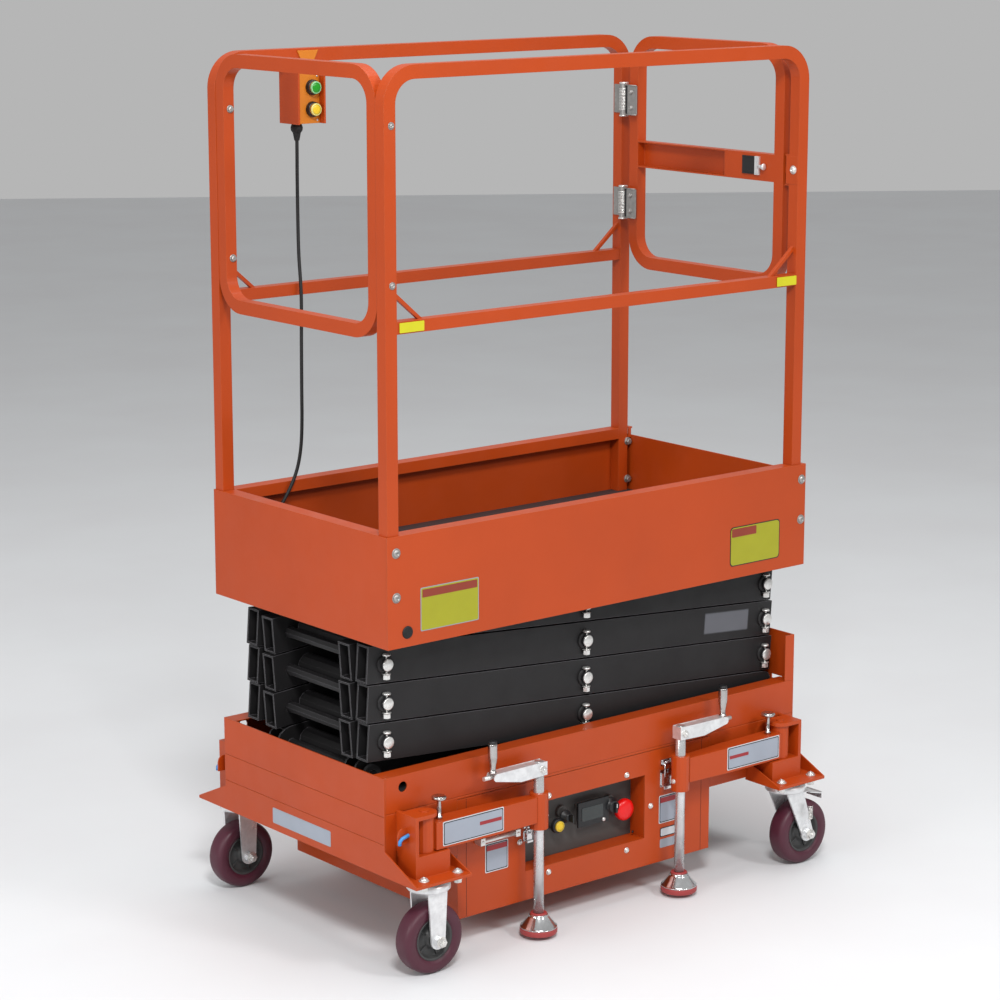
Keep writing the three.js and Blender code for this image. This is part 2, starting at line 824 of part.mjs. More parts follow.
// The axle through the lowest outer arms, with the rollers that run on the chassis tracks.
function lowerAxle() {
  const faces = [nearOuterY, farOuterY + armWidth];
  const axle = cylinder("y", shaftRadius - 2, [pinToPin, 0], faces[0] - 20, faces[1] + 20, 12);
  const pinZ = lowestPinZ + levelRise;
  const body = join(axle, roller([pinToPin, 0], faces[0] - seatGap, faces[1] + seatGap));
  return tilt(body.translate([leftPinX, 0, pinZ]), -restAngle, leftPinX, pinZ);
}

function innerArms(level) {
  const isTop = level === levels - 1;
  const isBottom = level === 0;
  const arms = join(...[nearInnerY, farInnerY].map((y) => boxArm(y, isBottom, isTop)));
  const spanEnds = [nearInnerY + armWidth - 1, farInnerY + 1];
  const tubeAt = [crossTubeOffset, pinToPin - crossTubeOffset];
  const tubes = tubeAt.map((x) => cylinder("y", crossTubeRadius, [x, 0], ...spanEnds, 12));
  const throughHoles = [];
  const additions = [];
  const hole = (x) => bore("y", shaftRadius, [x, 0], nearInnerY - 1, farInnerY + armWidth + 1, 8);
  throughHoles.push(hole(midPin));
  if (isBottom) {
    const reach = innerFace + planeGap - 4;
    additions.push(cylinder("y", shaftRadius, [0, 0], packCentreY - reach, packCentreY + reach, 12));
    additions.push(cylinder("y", barrelPinRadius, [barrelPinAt, 0], ...spanEnds, 12));
  } else {
    throughHoles.push(hole(0));
  }
  if (isTop) {
    const reach = outerFace;
    additions.push(
      cylinder("y", shaftRadius - 2, [pinToPin, 0], packCentreY - reach - 20, packCentreY + reach + 20, 12),
      roller([pinToPin, 0], packCentreY - outerFace, packCentreY + outerFace),
    );
  } else {
    throughHoles.push(hole(pinToPin));
  }
  let body = join(cut(join(arms, ...tubes), ...throughHoles), ...additions);
  if (level === 1) body = join(body, rodLugs());
  const pinZ = lowestPinZ + level * levelRise;
  return tilt(body.translate([leftPinX, 0, pinZ]), restAngle, leftPinX, pinZ);
}

// Two plates that hold the lift cylinder's rod eye, hung from a bar above it.
function rodLugs() {
  const barX = rodEyeAt - lugReach;
  const plate = polygon([
    [barX - 14, -18],
    [rodEyeAt + 18, -18],
    [rodEyeAt + 18, 18],
    [barX - 14, 18],
  ]);
  const clear = eyeWidth / 2 + 5;
  return join(
    cylinder("y", 12, [barX, 0], nearInnerY + armWidth - 1, farInnerY + 1, 12),
    prism(plate, "y", packCentreY - clear - 8, packCentreY - clear),
    prism(plate, "y", packCentreY + clear, packCentreY + clear + 8),
  );
}

for (let level = 0; level < levels; level += 1) {
  part(`scissor_inner_${level + 1}`, "dark", innerArms(level));
  part(`scissor_outer_${level + 1}`, "dark", outerArms(level));
}
part("scissor_lower_axle", "dark", lowerAxle());

// ---- Lift cylinder ----------------------------------------------------------------------
// Barrel pinned to the lowest inner arm, rod eye between the lugs of the second one.
const alongInner = (level, distance) => [
  leftPinX + distance * Math.cos(restAngle),
  lowestPinZ + level * levelRise + distance * Math.sin(restAngle),
];
const [barrelPinX, barrelPinZ] = alongInner(0, barrelPinAt);
const [rodEyeX, rodEyeZ] = alongInner(1, rodEyeAt);
const cylinderAngle = Math.atan2(rodEyeZ - barrelPinZ, rodEyeX - barrelPinX);
const closedLength = Math.hypot(rodEyeX - barrelPinX, rodEyeZ - barrelPinZ);

function eyeEnd(x, width) {
  return cylinder("y", eyeRadius, [x, 0], packCentreY - width / 2, packCentreY + width / 2, 16);
}

const placeCylinder = (body) =>
  tilt(body.translate([barrelPinX, 0, barrelPinZ]), cylinderAngle, barrelPinX, barrelPinZ);

const barrelBody = cut(
  join(
    eyeEnd(0, eyeWidth),
    cylinder("x", barrelRadius, [packCentreY, 0], eyeRadius - 6, barrelLength, 20),
  ),
  bore("y", barrelPinRadius, [0, 0], packCentreY - eyeWidth, packCentreY + eyeWidth),
  bore("x", rodRadius, [packCentreY, 0], eyeRadius + 14, barrelLength + 1),
);
const rodBody = cut(
  join(
    eyeEnd(closedLength, eyeWidth),
    cylinder("x", rodRadius, [packCentreY, 0], closedLength - rodLength, closedLength - 8, 16),
  ),
  cylinder("y", barrelPinRadius, [closedLength, 0], packCentreY - eyeWidth, packCentreY + eyeWidth, 12),
);
part("lift_cylinder_barrel", "steel", placeCylinder(barrelBody));
part("lift_cylinder_rod", "zinc", placeCylinder(rodBody));

// ---- Platform deck ----------------------------------------------------------------------
const halfLength = platformLength / 2;
const halfWidth = platformWidth / 2;

function platformTrack(sign) {
  const innerEdge = packCentreY + sign * (outerFace + pinHeadHeight + 5);
  const outerEdge = innerEdge + sign * 24;
  const ledgeTop = highestPinZ - rollerRadius - seatGap;
  const x0 = trackStartX;
  const x1 = halfLength - 12;
  const low = Math.min(innerEdge, outerEdge);
  const high = Math.max(innerEdge, outerEdge);
  const webLow = sign < 0 ? low : high - trackSheet;
  return join(
    box(x0, x1, low, high, ledgeTop - trackSheet, ledgeTop),
    box(x0, x1, webLow, webLow + trackSheet, ledgeTop - 1, deckBottom + 1),
  );
}

const deckEdgeX = halfLength - boardSheet - seatGap;
const deckEdgeY = halfWidth - boardSheet - seatGap;
const treadX = deckEdgeX - treadEdge;
const treadY = deckEdgeY - treadEdge;
const treadBody = cut(
  box(-treadX, treadX, -treadY, treadY, deckTop - 1, deckTop + treadHeight),
  cylinder("z", grommetRadius + 2, [grommetX, cableY], deckTop, deckTop + treadHeight + 1, 16),
);
const deckBody = join(
  box(-deckEdgeX, deckEdgeX, -deckEdgeY, deckEdgeY, deckBottom, deckTop),
  treadBody,
  platformTrack(-1),
  platformTrack(1),
  ...lugSides.map((y) => lug(y, highestPinZ, deckBottom + 1)),
);
part("platform_deck", "steel", deckBody);

// ---- Toe boards -------------------------------------------------------------------------
// A long board on the -Y side: sheet, folded top flange and lip, notched for the posts.
function longBoard() {
  const outer = -halfWidth;
  const lipInner = outer + boardFlange;
  const body = join(
    box(-halfLength, halfLength, outer, outer + boardSheet, boardBottom, boardTop),
    box(-halfLength, halfLength, outer, lipInner, boardTop - boardSheet, boardTop),
    box(-halfLength, halfLength, lipInner - boardSheet, lipInner, boardTop - boardLip, boardTop),
  );
  const clear = 1.5;
  const notches = [postLeft, postRight - postSide].map((x) =>
    box(x - clear, x + postSide + clear, outer + boardSheet, lipInner + 1, boardTop - boardLip - 1, boardTop + 1),
  );
  const cornerTrim = box(
    -halfLength - 1,
    postLeft,
    outer + boardSheet,
    lipInner + 1,
    boardTop - boardLip - 1,
    boardTop + 1,
  );
  const entryTrim = box(
    halfLength - boardSheet - seatGap,
    halfLength + 1,
    outer + boardSheet,
    lipInner + 1,
    boardTop - boardLip - 1,
    boardTop - boardSheet - 1,
  );
  const accessHole = cylinder("y", accessHoleRadius * 1.6, [leftPinX, highestPinZ], outer - 1, outer + 4);
  return cut(body, ...notches, cornerTrim, entryTrim, accessHole);
}

const nearBoard = longBoard();
part("toe_board_near", "orange", nearBoard);
part("toe_board_far", "orange", mirrorY(nearBoard));

const endBoardHalf = halfWidth - boardSheet - seatGap;
const endFlangeHalf = Math.min(postInnerY - 1.5, halfWidth - boardFlange - seatGap);
const rearBoardLip = -halfLength + boardFlange;
part(
  "toe_board_rear",
  "orange",
  join(
    box(-halfLength, -halfLength + boardSheet, -endBoardHalf, endBoardHalf, boardBottom, boardTop),
    box(-halfLength, rearBoardLip, -endFlangeHalf, endFlangeHalf, boardTop - boardSheet, boardTop),
    box(
      rearBoardLip - boardSheet,
      rearBoardLip,
      -endFlangeHalf,
      endFlangeHalf,
      boardTop - boardLip,
      boardTop,
    ),
  ),
);

const entryOuter = halfLength;
const entryInner = entryOuter - boardSheet;
part(
  "entry_board",
  "orange",
  box(entryInner, entryOuter, -endBoardHalf, endBoardHalf, boardBottom, entryBoardTop),
);

// ---- Guard rails ------------------------------------------------------------------------
function sideRail() {
  const y0 = -postOuterY;
  const y1 = -postInnerY;
  const postBottom = deckTop + seatGap;
  const arch = archBand(postLeft, postRight, postBottom, railTop, postSide, railBendRadius);
  const mid = box(postLeft + 2, postRight - 2, y0 + 1.5, y1 - 1.5, midRailBottom, midRailBottom + midRailSide);
  const midTop = midRailBottom + midRailSide;
  const braceY = (y0 + y1) / 2;
  const brace = (postFace, direction) => {
    const shape = polygon([
      [postFace - direction * 2, midTop + braceRise],
      [postFace - direction * 2, midTop + braceRise - braceThickness * 1.4],
      [postFace + direction * braceRun, midTop - 2],
      [postFace + direction * (braceRun + braceThickness * 1.4), midTop - 2],
    ]);
    return prism(shape, "y", braceY - braceThickness / 2, braceY + braceThickness / 2);
  };
  return join(
    prism(arch, "y", y0, y1, 6),
    mid,
    brace(postLeft + postSide, 1),
    brace(postRight - postSide, -1),
  );
}

const nearRail = sideRail();
part("guard_rail_near", "orange", nearRail);
part("guard_rail_far", "orange", mirrorY(nearRail));

const endFrameY = postInnerY - seatGap;
part(
  "end_frame_rear",
  "orange",
  prism(
    loopBand(-endFrameY, endFrameY, endFrameBottom, railTop - 1, postSide, railBendRadius),
    "x",
    postLeft + 1,
    postLeft + postSide - 1,
    6,
  ),
);

// ---- Gate -------------------------------------------------------------------------------
const gateX0 = postRight - postSide + 1;
const gateX1 = postRight - 1;
const hingeX = gateX0 - hingeBarrelRadius - 1;
const leafSheet = 3;

function gateBody() {
  const frame = prism(
    loopBand(gateNearY, gateFarY, endFrameBottom, railTop - 1, postSide, railBendRadius),
    "x",
    gateX0,
    gateX1,
    6,
  );
  const barTop = gateBarBottom + gateBarHeight;
  const barY0 = gateNearY + postSide - 2;
  const barY1 = gateFarY - postSide + 2;
  const barX1 = gateX1 - 2;
  const barX0 = barX1 - gateBarDepth;
  const latchPocketY = barY0 + gateLatchWidth;
  const bar = cut(
    box(barX0, barX1, barY0, barY1, gateBarBottom, barTop),
    box(
      barX0 - 1,
      barX1 - gateBarSheet,
      latchPocketY,
      barY1 - gateBarSheet,
      gateBarBottom + gateBarSheet,
      barTop - gateBarSheet,
    ),
  );
  const tongue = box(gateX0 + 8, gateX1 - 8, gateNearY - gateTongueReach, gateNearY + 2, gateBarBottom + 22, barTop - 22);
  const leaves = hingeHeights.map((z) =>
    box(
      hingeX - 1,
      gateX0 + 1,
      gateFarY - postSide + 3,
      hingeY - hingeBarrelRadius - 0.6,
      z - hingeHeight / 2,
      z + hingeHeight / 2,
    ),
  );
  return join(frame, bar, tongue, ...leaves);
}

part("gate", "orange", gateBody());

hingeHeights.forEach((z, index) => {
  const low = z - hingeHeight / 2 - 3;
  const high = z + hingeHeight / 2 + 3;
  const faceX = postRight - postSide - seatGap;
  part(
    `gate_hinge_${index === 0 ? "lower" : "upper"}`,
    "zinc",
    join(
      cylinder("z", hingeBarrelRadius, [hingeX, hingeY], low, high, 16),
      box(faceX - leafSheet, faceX, hingeY + 4, postOuterY - 6, low + 3, high - 3),
      box(hingeX, faceX, hingeY + 2, hingeY + 6, low + 3, high - 3),
    ),
  );
});

const keeperY1 = -postInnerY + seatGap + 1;
const keeperX0 = gateX0 + 1;
const keeperX1 = gateX1 - 1;
const keeperBottom = gateBarBottom - 4;
const keeperTop = gateBarBottom + gateBarHeight + 4;
part(
  "gate_keeper",
  "orange",
  join(
    box(keeperX0, keeperX1, -postInnerY + seatGap, -postInnerY + 4, keeperBottom, keeperTop),
    box(keeperX0, keeperX1, -postInnerY + 2, gateNearY - 6, keeperTop - 3, keeperTop),
    box(keeperX0, keeperX1, -postInnerY + 2, gateNearY - 6, keeperBottom, keeperBottom + 3),
    box(keeperX1 - 3, keeperX1, keeperY1, gateNearY - 6, keeperBottom, keeperTop),
  ),
);

// ---- Platform control box ---------------------------------------------------------------
// A box whose side walls stand out past the button plate. The plate runs up to the rail.
const boxX0 = controlBoxX - controlBoxWidth / 2;
const boxX1 = controlBoxX + controlBoxWidth / 2;
const boxTop = controlBoxBottom + controlBoxHeight;
const plateBack = postInnerY - seatGap;
const plateFront = plateBack - bezelSheet;
const boxFront = plateFront - controlBoxRecess;
const boxBack = boxFront + controlBoxDepth;
part(
  "control_box",
  "orange",
  cut(
    box(boxX0, boxX1, boxFront, boxBack, controlBoxBottom, boxTop),
    box(
      boxX0 + controlBoxWall,
      boxX1 - controlBoxWall,
      boxFront - 1,
      plateBack + seatGap,
      controlBoxBottom - 1,
      boxTop + 1,
    ),
  ),
);

const plateX0 = boxX0 + controlBoxWall + seatGap;
const plateX1 = boxX1 - controlBoxWall - seatGap;
const platePlan = polygon([
  [plateX0, controlBoxBottom],
  [plateX1, controlBoxBottom],
  [plateX1, boxTop],
  [controlBoxX + 20, boxTop + 3],
  [controlBoxX + 20, boxTop + 22],
  [controlBoxX + 30, railTop - 4],
  [controlBoxX - 24, railTop - 4],
  [controlBoxX - 15, boxTop + 22],
  [controlBoxX - 15, boxTop + 3],
  [plateX0, boxTop],
]);
const buttonX = controlBoxX + 12;
const buttonZ = [controlBoxBottom + 30, controlBoxBottom + 76];
part(
  "control_plate",
  "amber",
  join(
    prism(platePlan, "y", plateFront, plateBack),
    ...buttonZ.map((z) => cylinder("y", buttonRadius, [buttonX, z], plateFront - buttonReach, plateFront + 1, 16)),
  ),
);

// ---- Control cable ----------------------------------------------------------------------
const glandX = controlBoxX - 12;
const glandY = boxFront + controlBoxDepth / 2 + 6;
const glandTop = controlBoxBottom - seatGap;
const glandBottom = glandTop - glandLength;
part(
  "cable_gland",
  "black",
  join(
    cylinder("z", 11, [glandX, glandY], glandTop - 14, glandTop, 12),
    cylinder("z", 5.5, [glandX, glandY], glandBottom, glandTop - 13, 12, 10),
  ),
);

const cableEnd = [grommetX, cableY, deckTop + seatGap + grommetLength + seatGap];
const cableRoute = [
  [glandX, glandY, glandBottom - seatGap],
  [glandX, glandY, glandBottom - 20],
  [glandX - 2, glandY - 2, 1575],
  [glandX - 7, glandY - 9, 1490],
  [glandX - 13, glandY - 19, 1400],
  [glandX - 17, cableY + 1, 1320],
  [glandX - 19, cableY, 1220],
  [glandX - 20, cableY, 1120],
  [glandX - 21, cableY, 1030],
  [glandX - 25, cableY, 980],
  [glandX - 36, cableY, 935],
  [glandX - 54, cableY, 900],
  [glandX - 77, cableY, 867],
  [glandX - 101, cableY, 838],
  [grommetX + 14, cableY, 816],
  [grommetX + 3, cableY, 801],
  [grommetX, cableY, 792],
  cableEnd,
].map((point) => new THREE.Vector3(...point));

const cableSides = 8;
const cableSection = polygon(
  Array.from({ length: cableSides }, (_, index) => {
    const angle = (index * 2 * Math.PI) / cableSides;
    return [(Math.cos(angle) * cableDiameter) / 2, (Math.sin(angle) * cableDiameter) / 2];
  }),
);
const cableGeometry = new THREE.ExtrudeGeometry(cableSection, {
  steps: 40,
  bevelEnabled: false,
  extrudePath: new THREE.CatmullRomCurve3(cableRoute, false, "centripetal"),
});
part("control_cable", "black", solid(cableGeometry));

part(
  "cable_grommet",
  "black",
  cylinder(
    "z",
    grommetRadius,
    [grommetX, cableY],
    deckTop + seatGap,
    deckTop + seatGap + grommetLength,
    12,
    5.5,
  ),
);

export default model;
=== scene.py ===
"""Scissor lift: looks, fine detail, floor, light and camera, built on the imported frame.

Everything is in metres in the frame of the part: +X towards the gate, -Y towards the lower
controls, +Z up. Details take their faces from the CAD nodes' boxes and their axes from the
joints; the other places are constants in the same frame.
"""

import json
import math

import bmesh
import bpy
from mathutils import Matrix, Vector


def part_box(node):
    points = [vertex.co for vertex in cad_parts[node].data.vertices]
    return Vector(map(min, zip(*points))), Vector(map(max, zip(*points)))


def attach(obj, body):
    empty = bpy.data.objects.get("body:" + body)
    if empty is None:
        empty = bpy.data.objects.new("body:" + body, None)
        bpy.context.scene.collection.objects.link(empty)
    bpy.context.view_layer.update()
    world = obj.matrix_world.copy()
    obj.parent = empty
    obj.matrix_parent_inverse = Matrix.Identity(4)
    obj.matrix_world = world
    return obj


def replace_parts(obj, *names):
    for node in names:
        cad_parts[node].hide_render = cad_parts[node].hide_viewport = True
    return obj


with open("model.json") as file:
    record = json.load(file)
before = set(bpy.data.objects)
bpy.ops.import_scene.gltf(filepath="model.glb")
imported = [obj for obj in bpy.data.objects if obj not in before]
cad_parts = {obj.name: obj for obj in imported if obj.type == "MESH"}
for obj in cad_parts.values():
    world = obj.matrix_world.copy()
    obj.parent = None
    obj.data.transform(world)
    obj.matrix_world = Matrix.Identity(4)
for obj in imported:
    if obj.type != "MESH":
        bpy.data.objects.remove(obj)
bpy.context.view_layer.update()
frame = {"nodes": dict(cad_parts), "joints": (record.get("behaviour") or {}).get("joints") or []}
nodes = frame["nodes"]


def placed(name, data):
    """A new object in the scene for a mesh, curve, camera or light."""
    obj = bpy.data.objects.new(name, data)
    bpy.context.scene.collection.objects.link(obj)
    return obj


# ---- Camera
CAMERA_AT = (-3.9392, -4.6994, 2.1786)
CAMERA_FORWARD = (0.6217, 0.7543, -0.2108)
CAMERA_LENS, CAMERA_SENSOR, CAMERA_REACH = 103.3, 36, 60

camera_data = bpy.data.cameras.new("camera")
camera_data.lens = CAMERA_LENS
camera_data.sensor_width = CAMERA_SENSOR
camera_data.clip_end = CAMERA_REACH
camera = placed("camera", camera_data)
camera.location = CAMERA_AT
camera.rotation_euler = Vector(CAMERA_FORWARD).to_track_quat("-Z", "Y").to_euler()
bpy.context.scene.camera = camera


# ---- Small helpers
def mm(*values):
    return tuple(value / 1000 for value in values)


def srgb(code):
    """A hex colour as linear RGB with alpha 1."""
    channels = [int(code[i : i + 2], 16) / 255 for i in (0, 2, 4)]
    linear = [c / 12.92 if c <= 0.04045 else ((c + 0.055) / 1.055) ** 2.4 for c in channels]
    return (*linear, 1.0)


def low(node):
    return Vector(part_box(node)[0])


def high(node):
    return Vector(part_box(node)[1])


def middle(node):
    return (low(node) + high(node)) / 2


BEVEL_PROFILE = 0.7


class Build:
    """Collects many small shapes into one mesh, in metres except for turned profiles."""

    def __init__(self):
        self.bm = bmesh.new()

    def _take(self, verts, matrix, smooth):
        bmesh.ops.transform(self.bm, matrix=matrix, verts=verts)
        for face in {face for vert in verts for face in vert.link_faces}:
            face.smooth = smooth

    def box(self, lo, hi, bevel=0.0, turn=None):
        size = [b - a for a, b in zip(lo, hi)]
        centre = Vector([(a + b) / 2 for a, b in zip(lo, hi)])
        made = bmesh.ops.create_cube(self.bm, size=1)["verts"]
        bmesh.ops.transform(self.bm, matrix=Matrix.Diagonal((*size, 1)), verts=made)
        if bevel:
            edges = list(dict.fromkeys(edge for vert in made for edge in vert.link_edges))
            made = bmesh.ops.bevel(
                self.bm, geom=edges, offset=bevel, segments=2, affect="EDGES", profile=BEVEL_PROFILE
            )["verts"]
            faces = dict.fromkeys(face for vert in made for face in vert.link_faces)
            made = list(dict.fromkeys(vert for face in faces for vert in face.verts))
        matrix = Matrix.Translation(centre)
        if turn:
            matrix = matrix @ turn
        self._take(made, matrix, False)

    def turned(self, profile, at, axis, segments=24, smooth=True):
        """A profile of (radius, along) in millimetres, spun about an axis through at."""
        rings = []
        for radius, along in (mm(*pair) for pair in profile):
            turns = [2 * math.pi * i / segments for i in range(segments if radius else 1)]
            ring = [(radius * math.cos(turn), radius * math.sin(turn), along) for turn in turns]
            rings.append([self.bm.verts.new(place) for place in ring])
        for first, second in zip(rings, rings[1:]):
            for i in range(segments):
                j = (i + 1) % segments
                corners = [first[i % len(first)], first[j % len(first)]]
                corners += [second[j % len(second)], second[i % len(second)]]
                unique = list(dict.fromkeys(corners))
                if len(unique) > 2:
                    self.bm.faces.new(unique)
        verts = [v for ring in rings for v in ring]
        matrix = Matrix.Translation(at) @ Vector(axis).to_track_quat("Z", "Y").to_matrix().to_4x4()
        self._take(verts, matrix, smooth)

    def tube(self, points, radius, segments=10):
        """A round rod swept along points."""
        points = [Vector(p) for p in points]
        turns = [2 * math.pi * k / segments for k in range(segments)]
        rings = []
        normal = None
        for i, point in enumerate(points):
            ahead = points[min(i + 1, len(points) - 1)]
            tangent = (ahead - points[max(i - 1, 0)]).normalized()
            if normal is None:
                normal = tangent.orthogonal().normalized()
            normal = (normal - tangent * normal.dot(tangent)).normalized()
            side = tangent.cross(normal)
            rings.append([])
            for turn in turns:
                place = point + normal * radius * math.cos(turn) + side * radius * math.sin(turn)
                rings[-1].append(self.bm.verts.new(place))
        for first, second in zip(rings, rings[1:]):
            for k in range(segments):
                m = (k + 1) % segments
                self.bm.faces.new((first[k], first[m], second[m], second[k])).smooth = True
        self.bm.faces.new(list(reversed(rings[0])))
        self.bm.faces.new(rings[-1])

    def plate(self, outline, thickness, at, across, up):
        """A flat outline of (across, up) points, thickened along across x up."""
        across, up, at = Vector(across).normalized(), Vector(up).normalized(), Vector(at)
        normal = across.cross(up)
        back = [self.bm.verts.new(at + across * a + up * b) for a, b in outline]
        front = [self.bm.verts.new(v.co + normal * thickness) for v in back]
        self.bm.faces.new(list(reversed(back)))
        self.bm.faces.new(front)
        for i in range(len(outline)):
            j = (i + 1) % len(outline)
            self.bm.faces.new((back[i], back[j], front[j], front[i]))

    def piece(self, name, material, body):
        """End the mesh as one piece that rides on a body."""
        bmesh.ops.recalc_face_normals(self.bm, faces=self.bm.faces)
        mesh = bpy.data.meshes.new(name)
        self.bm.to_mesh(mesh)
        self.bm.free()
        obj = placed(name, mesh)
        obj.data.materials.append(material)
        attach(obj, body)
        return obj


def spun(name, material, body, profile, at, axis, segments):
    """One turned shape as a piece of its own."""
    build = Build()
    build.turned(profile, at, axis, segments)
    return build.piece(name, material, body)


# ---- Materials
# The colour sockets of a Mix node, and how far (as a cosine) the rounded normal turns from the
# flat one where the painted edge highlight starts and where it is full.
COLOR_INPUTS, COLOR_OUTPUT = slice(6, 8), 2
EDGE_STARTS, EDGE_FULL = 0.96, 0.8
EDGE_RADIUS, SOFT_RADIUS = 0.0016, 0.0015


class Shader:
    """A Principled material built from a few node chains in object space."""

    def __init__(self, name, color, roughness, metallic=0.0):
        self.material = bpy.data.materials.new(name)
        self.material.use_nodes = True
        self.nodes = self.material.node_tree.nodes
        self.links = self.material.node_tree.links
        self.bsdf = self.nodes["Principled BSDF"]
        self.color, self.roughness = srgb(color), roughness
        self.bsdf.inputs["Base Color"].default_value = self.color
        self.bsdf.inputs["Roughness"].default_value = roughness
        self.bsdf.inputs["Metallic"].default_value = metallic
        self.coords = self.nodes.new("ShaderNodeTexCoord").outputs["Object"]

    def node(self, kind, **values):
        """A node with some inputs set; an underscore in an input's name stands for a space."""
        node = self.nodes.new(f"ShaderNode{kind}")
        for name, value in values.items():
            node.inputs[name.replace("_", " ")].default_value = value
        return node

    def noise(self, scale, detail=4.0, roughness=0.55, stretch=None, distortion=0.0):
        node = self.node("TexNoise", Scale=scale, Detail=detail, Roughness=roughness)
        node.inputs["Distortion"].default_value = distortion
        source = self.coords
        if stretch:
            mapping = self.node("Mapping", Scale=stretch)
            self.links.new(self.coords, mapping.inputs["Vector"])
            source = mapping.outputs["Vector"]
        self.links.new(source, node.inputs["Vector"])
        return node.outputs["Fac"]

    def ramp(self, value, stops):
        node = self.node("ValToRGB")
        elements = node.color_ramp.elements
        while len(elements) < len(stops):
            elements.new(0.5)
        for element, (position, color) in zip(elements, stops):
            element.position = position
            element.color = color if len(color) == 4 else (*color, 1)
        self.links.new(value, node.inputs["Fac"])
        return node.outputs["Color"]

    def span(self, value, low_in, high_in, low_out, high_out):
        """A value from one range, clamped and mapped to another."""
        node = self.node("MapRange", From_Min=low_in, From_Max=high_in)
        node.inputs["To Min"].default_value = low_out
        node.inputs["To Max"].default_value = high_out
        self.links.new(value, node.inputs["Value"])
        return node.outputs["Result"]

    def drift(self, value, darker, lighter, start=0.3, end=0.7):
        """The colour between two shades of itself."""
        first, last = shade(self.color, darker), shade(self.color, lighter)
        return self.ramp(value, [(start, first), (end, last)])

    def gloss(self, value, below, above):
        """Roughness that varies between a little below and a little above its own."""
        low_out, high_out = self.roughness - below, self.roughness + above
        self.set("Roughness", self.span(value, 0.3, 0.7, low_out, high_out))

    def mix(self, factor, first, second):
        node = self.node("Mix")
        node.data_type = "RGBA"
        self.links.new(factor, node.inputs["Factor"])
        for socket, value in zip(node.inputs[COLOR_INPUTS], (first, second)):
            if isinstance(value, tuple):
                socket.default_value = value
            else:
                self.links.new(value, socket)
        return node.outputs[COLOR_OUTPUT]

    def soft_edges(self, radius):
        """The surface normal with its edges rounded over a radius."""
        node = self.node("Bevel", Radius=radius)
        node.samples = 4
        return node.outputs["Normal"]

    def edge_mask(self, radius):
        """1 along the edges and 0 on the flats, from how far rounding turns the normal."""
        dot = self.node("VectorMath")
        dot.operation = "DOT_PRODUCT"
        self.links.new(self.soft_edges(radius), dot.inputs[0])
        self.links.new(self.node("NewGeometry").outputs["Normal"], dot.inputs[1])
        return self.span(dot.outputs["Value"], EDGE_STARTS, EDGE_FULL, 0, 1)

    def bump(self, height, strength, distance=0.001, normal=None):
        node = self.node("Bump", Strength=strength, Distance=distance)
        self.links.new(height, node.inputs["Height"])
        if normal is not None:
            self.links.new(normal, node.inputs["Normal"])
        self.links.new(node.outputs["Normal"], self.bsdf.inputs["Normal"])
        return node.outputs["Normal"]

    def set(self, socket, value):
        if hasattr(value, "is_output"):
            self.links.new(value, self.bsdf.inputs[socket])
        else:
            self.bsdf.inputs[socket].default_value = value


def shade(color, factor):
    return (*[min(1.0, c * factor) for c in color[:3]], 1.0)


def paint(name, color, roughness=0.42, wear=None, coat=0.25, edge=None):
    """Powder coat: faint colour drift, orange peel, soft edges and, where asked, rubbed paint and a
    painted edge highlight.
    """
    s = Shader(name, color, roughness)
    tone = s.drift(s.noise(3.1, 5), 0.93, 1.06, 0.32, 0.68)
    speck = s.span(s.noise(420, 2), 0.62, 0.75, 0, 0.1)
    tone = s.mix(speck, tone, shade(s.color, 0.72))
    if wear:
        scuffs = s.span(s.noise(26, 6, 0.7, distortion=0.6), 0.66, 0.78, 0, 0.5)
        tone = s.mix(scuffs, tone, srgb(wear))
    # Painted highlight: a lighter colour along every edge, standing in for light caught by the
    # rounded edges.
    if edge:
        tone = s.mix(s.edge_mask(EDGE_RADIUS), tone, srgb(edge))
    s.set("Base Color", tone)
    s.gloss(s.noise(18, 5), 0.06, 0.1)
    peel = s.noise(900, 2)
    waves = s.bump(s.noise(260, 3), 0.08, 0.0006, s.soft_edges(SOFT_RADIUS))
    s.bump(peel, 0.1, 0.0004, waves)
    s.set("Specular IOR Level", 0.32)
    s.set("Coat Weight", coat)
    s.set("Coat Roughness", 0.28)
    return s.material


def zinc(name, color, roughness=0.34, spangle=60, metallic=0.85):
    """Bright zinc plate with patches of duller passivation and fine handling marks."""
    s = Shader(name, color, roughness, metallic)
    s.set("Base Color", s.drift(s.noise(spangle, 3, 0.6, distortion=0.4), 0.86, 1.08))
    s.gloss(s.noise(34, 6), 0.07, 0.13)
    s.bump(s.noise(700, 3, stretch=(1, 1, 0.15)), 0.1, 0.0003)
    return s.material


def plastic(name, color, roughness=0.5, grain=500, strength=0.15):
    """Moulded plastic or rubber: an uneven tone and a fine grain."""
    s = Shader(name, color, roughness)
    s.set("Base Color", s.drift(s.noise(9, 4), 0.9, 1.12))
    s.gloss(s.noise(40, 4), 0.05, 0.08)
    s.bump(s.noise(grain, 2), strength, 0.0004)
    return s.material


def label(name, color, roughness=0.45):
    """A blank printed plate: nearly even, with the faint unevenness of a sticker."""
    s = Shader(name, color, roughness)
    s.set("Base Color", s.drift(s.noise(14, 3), 0.95, 1.04))
    s.bump(s.noise(60, 2), 0.06, 0.0005)
    s.gloss(s.noise(22, 3), 0.06, 0.06)
    return s.material
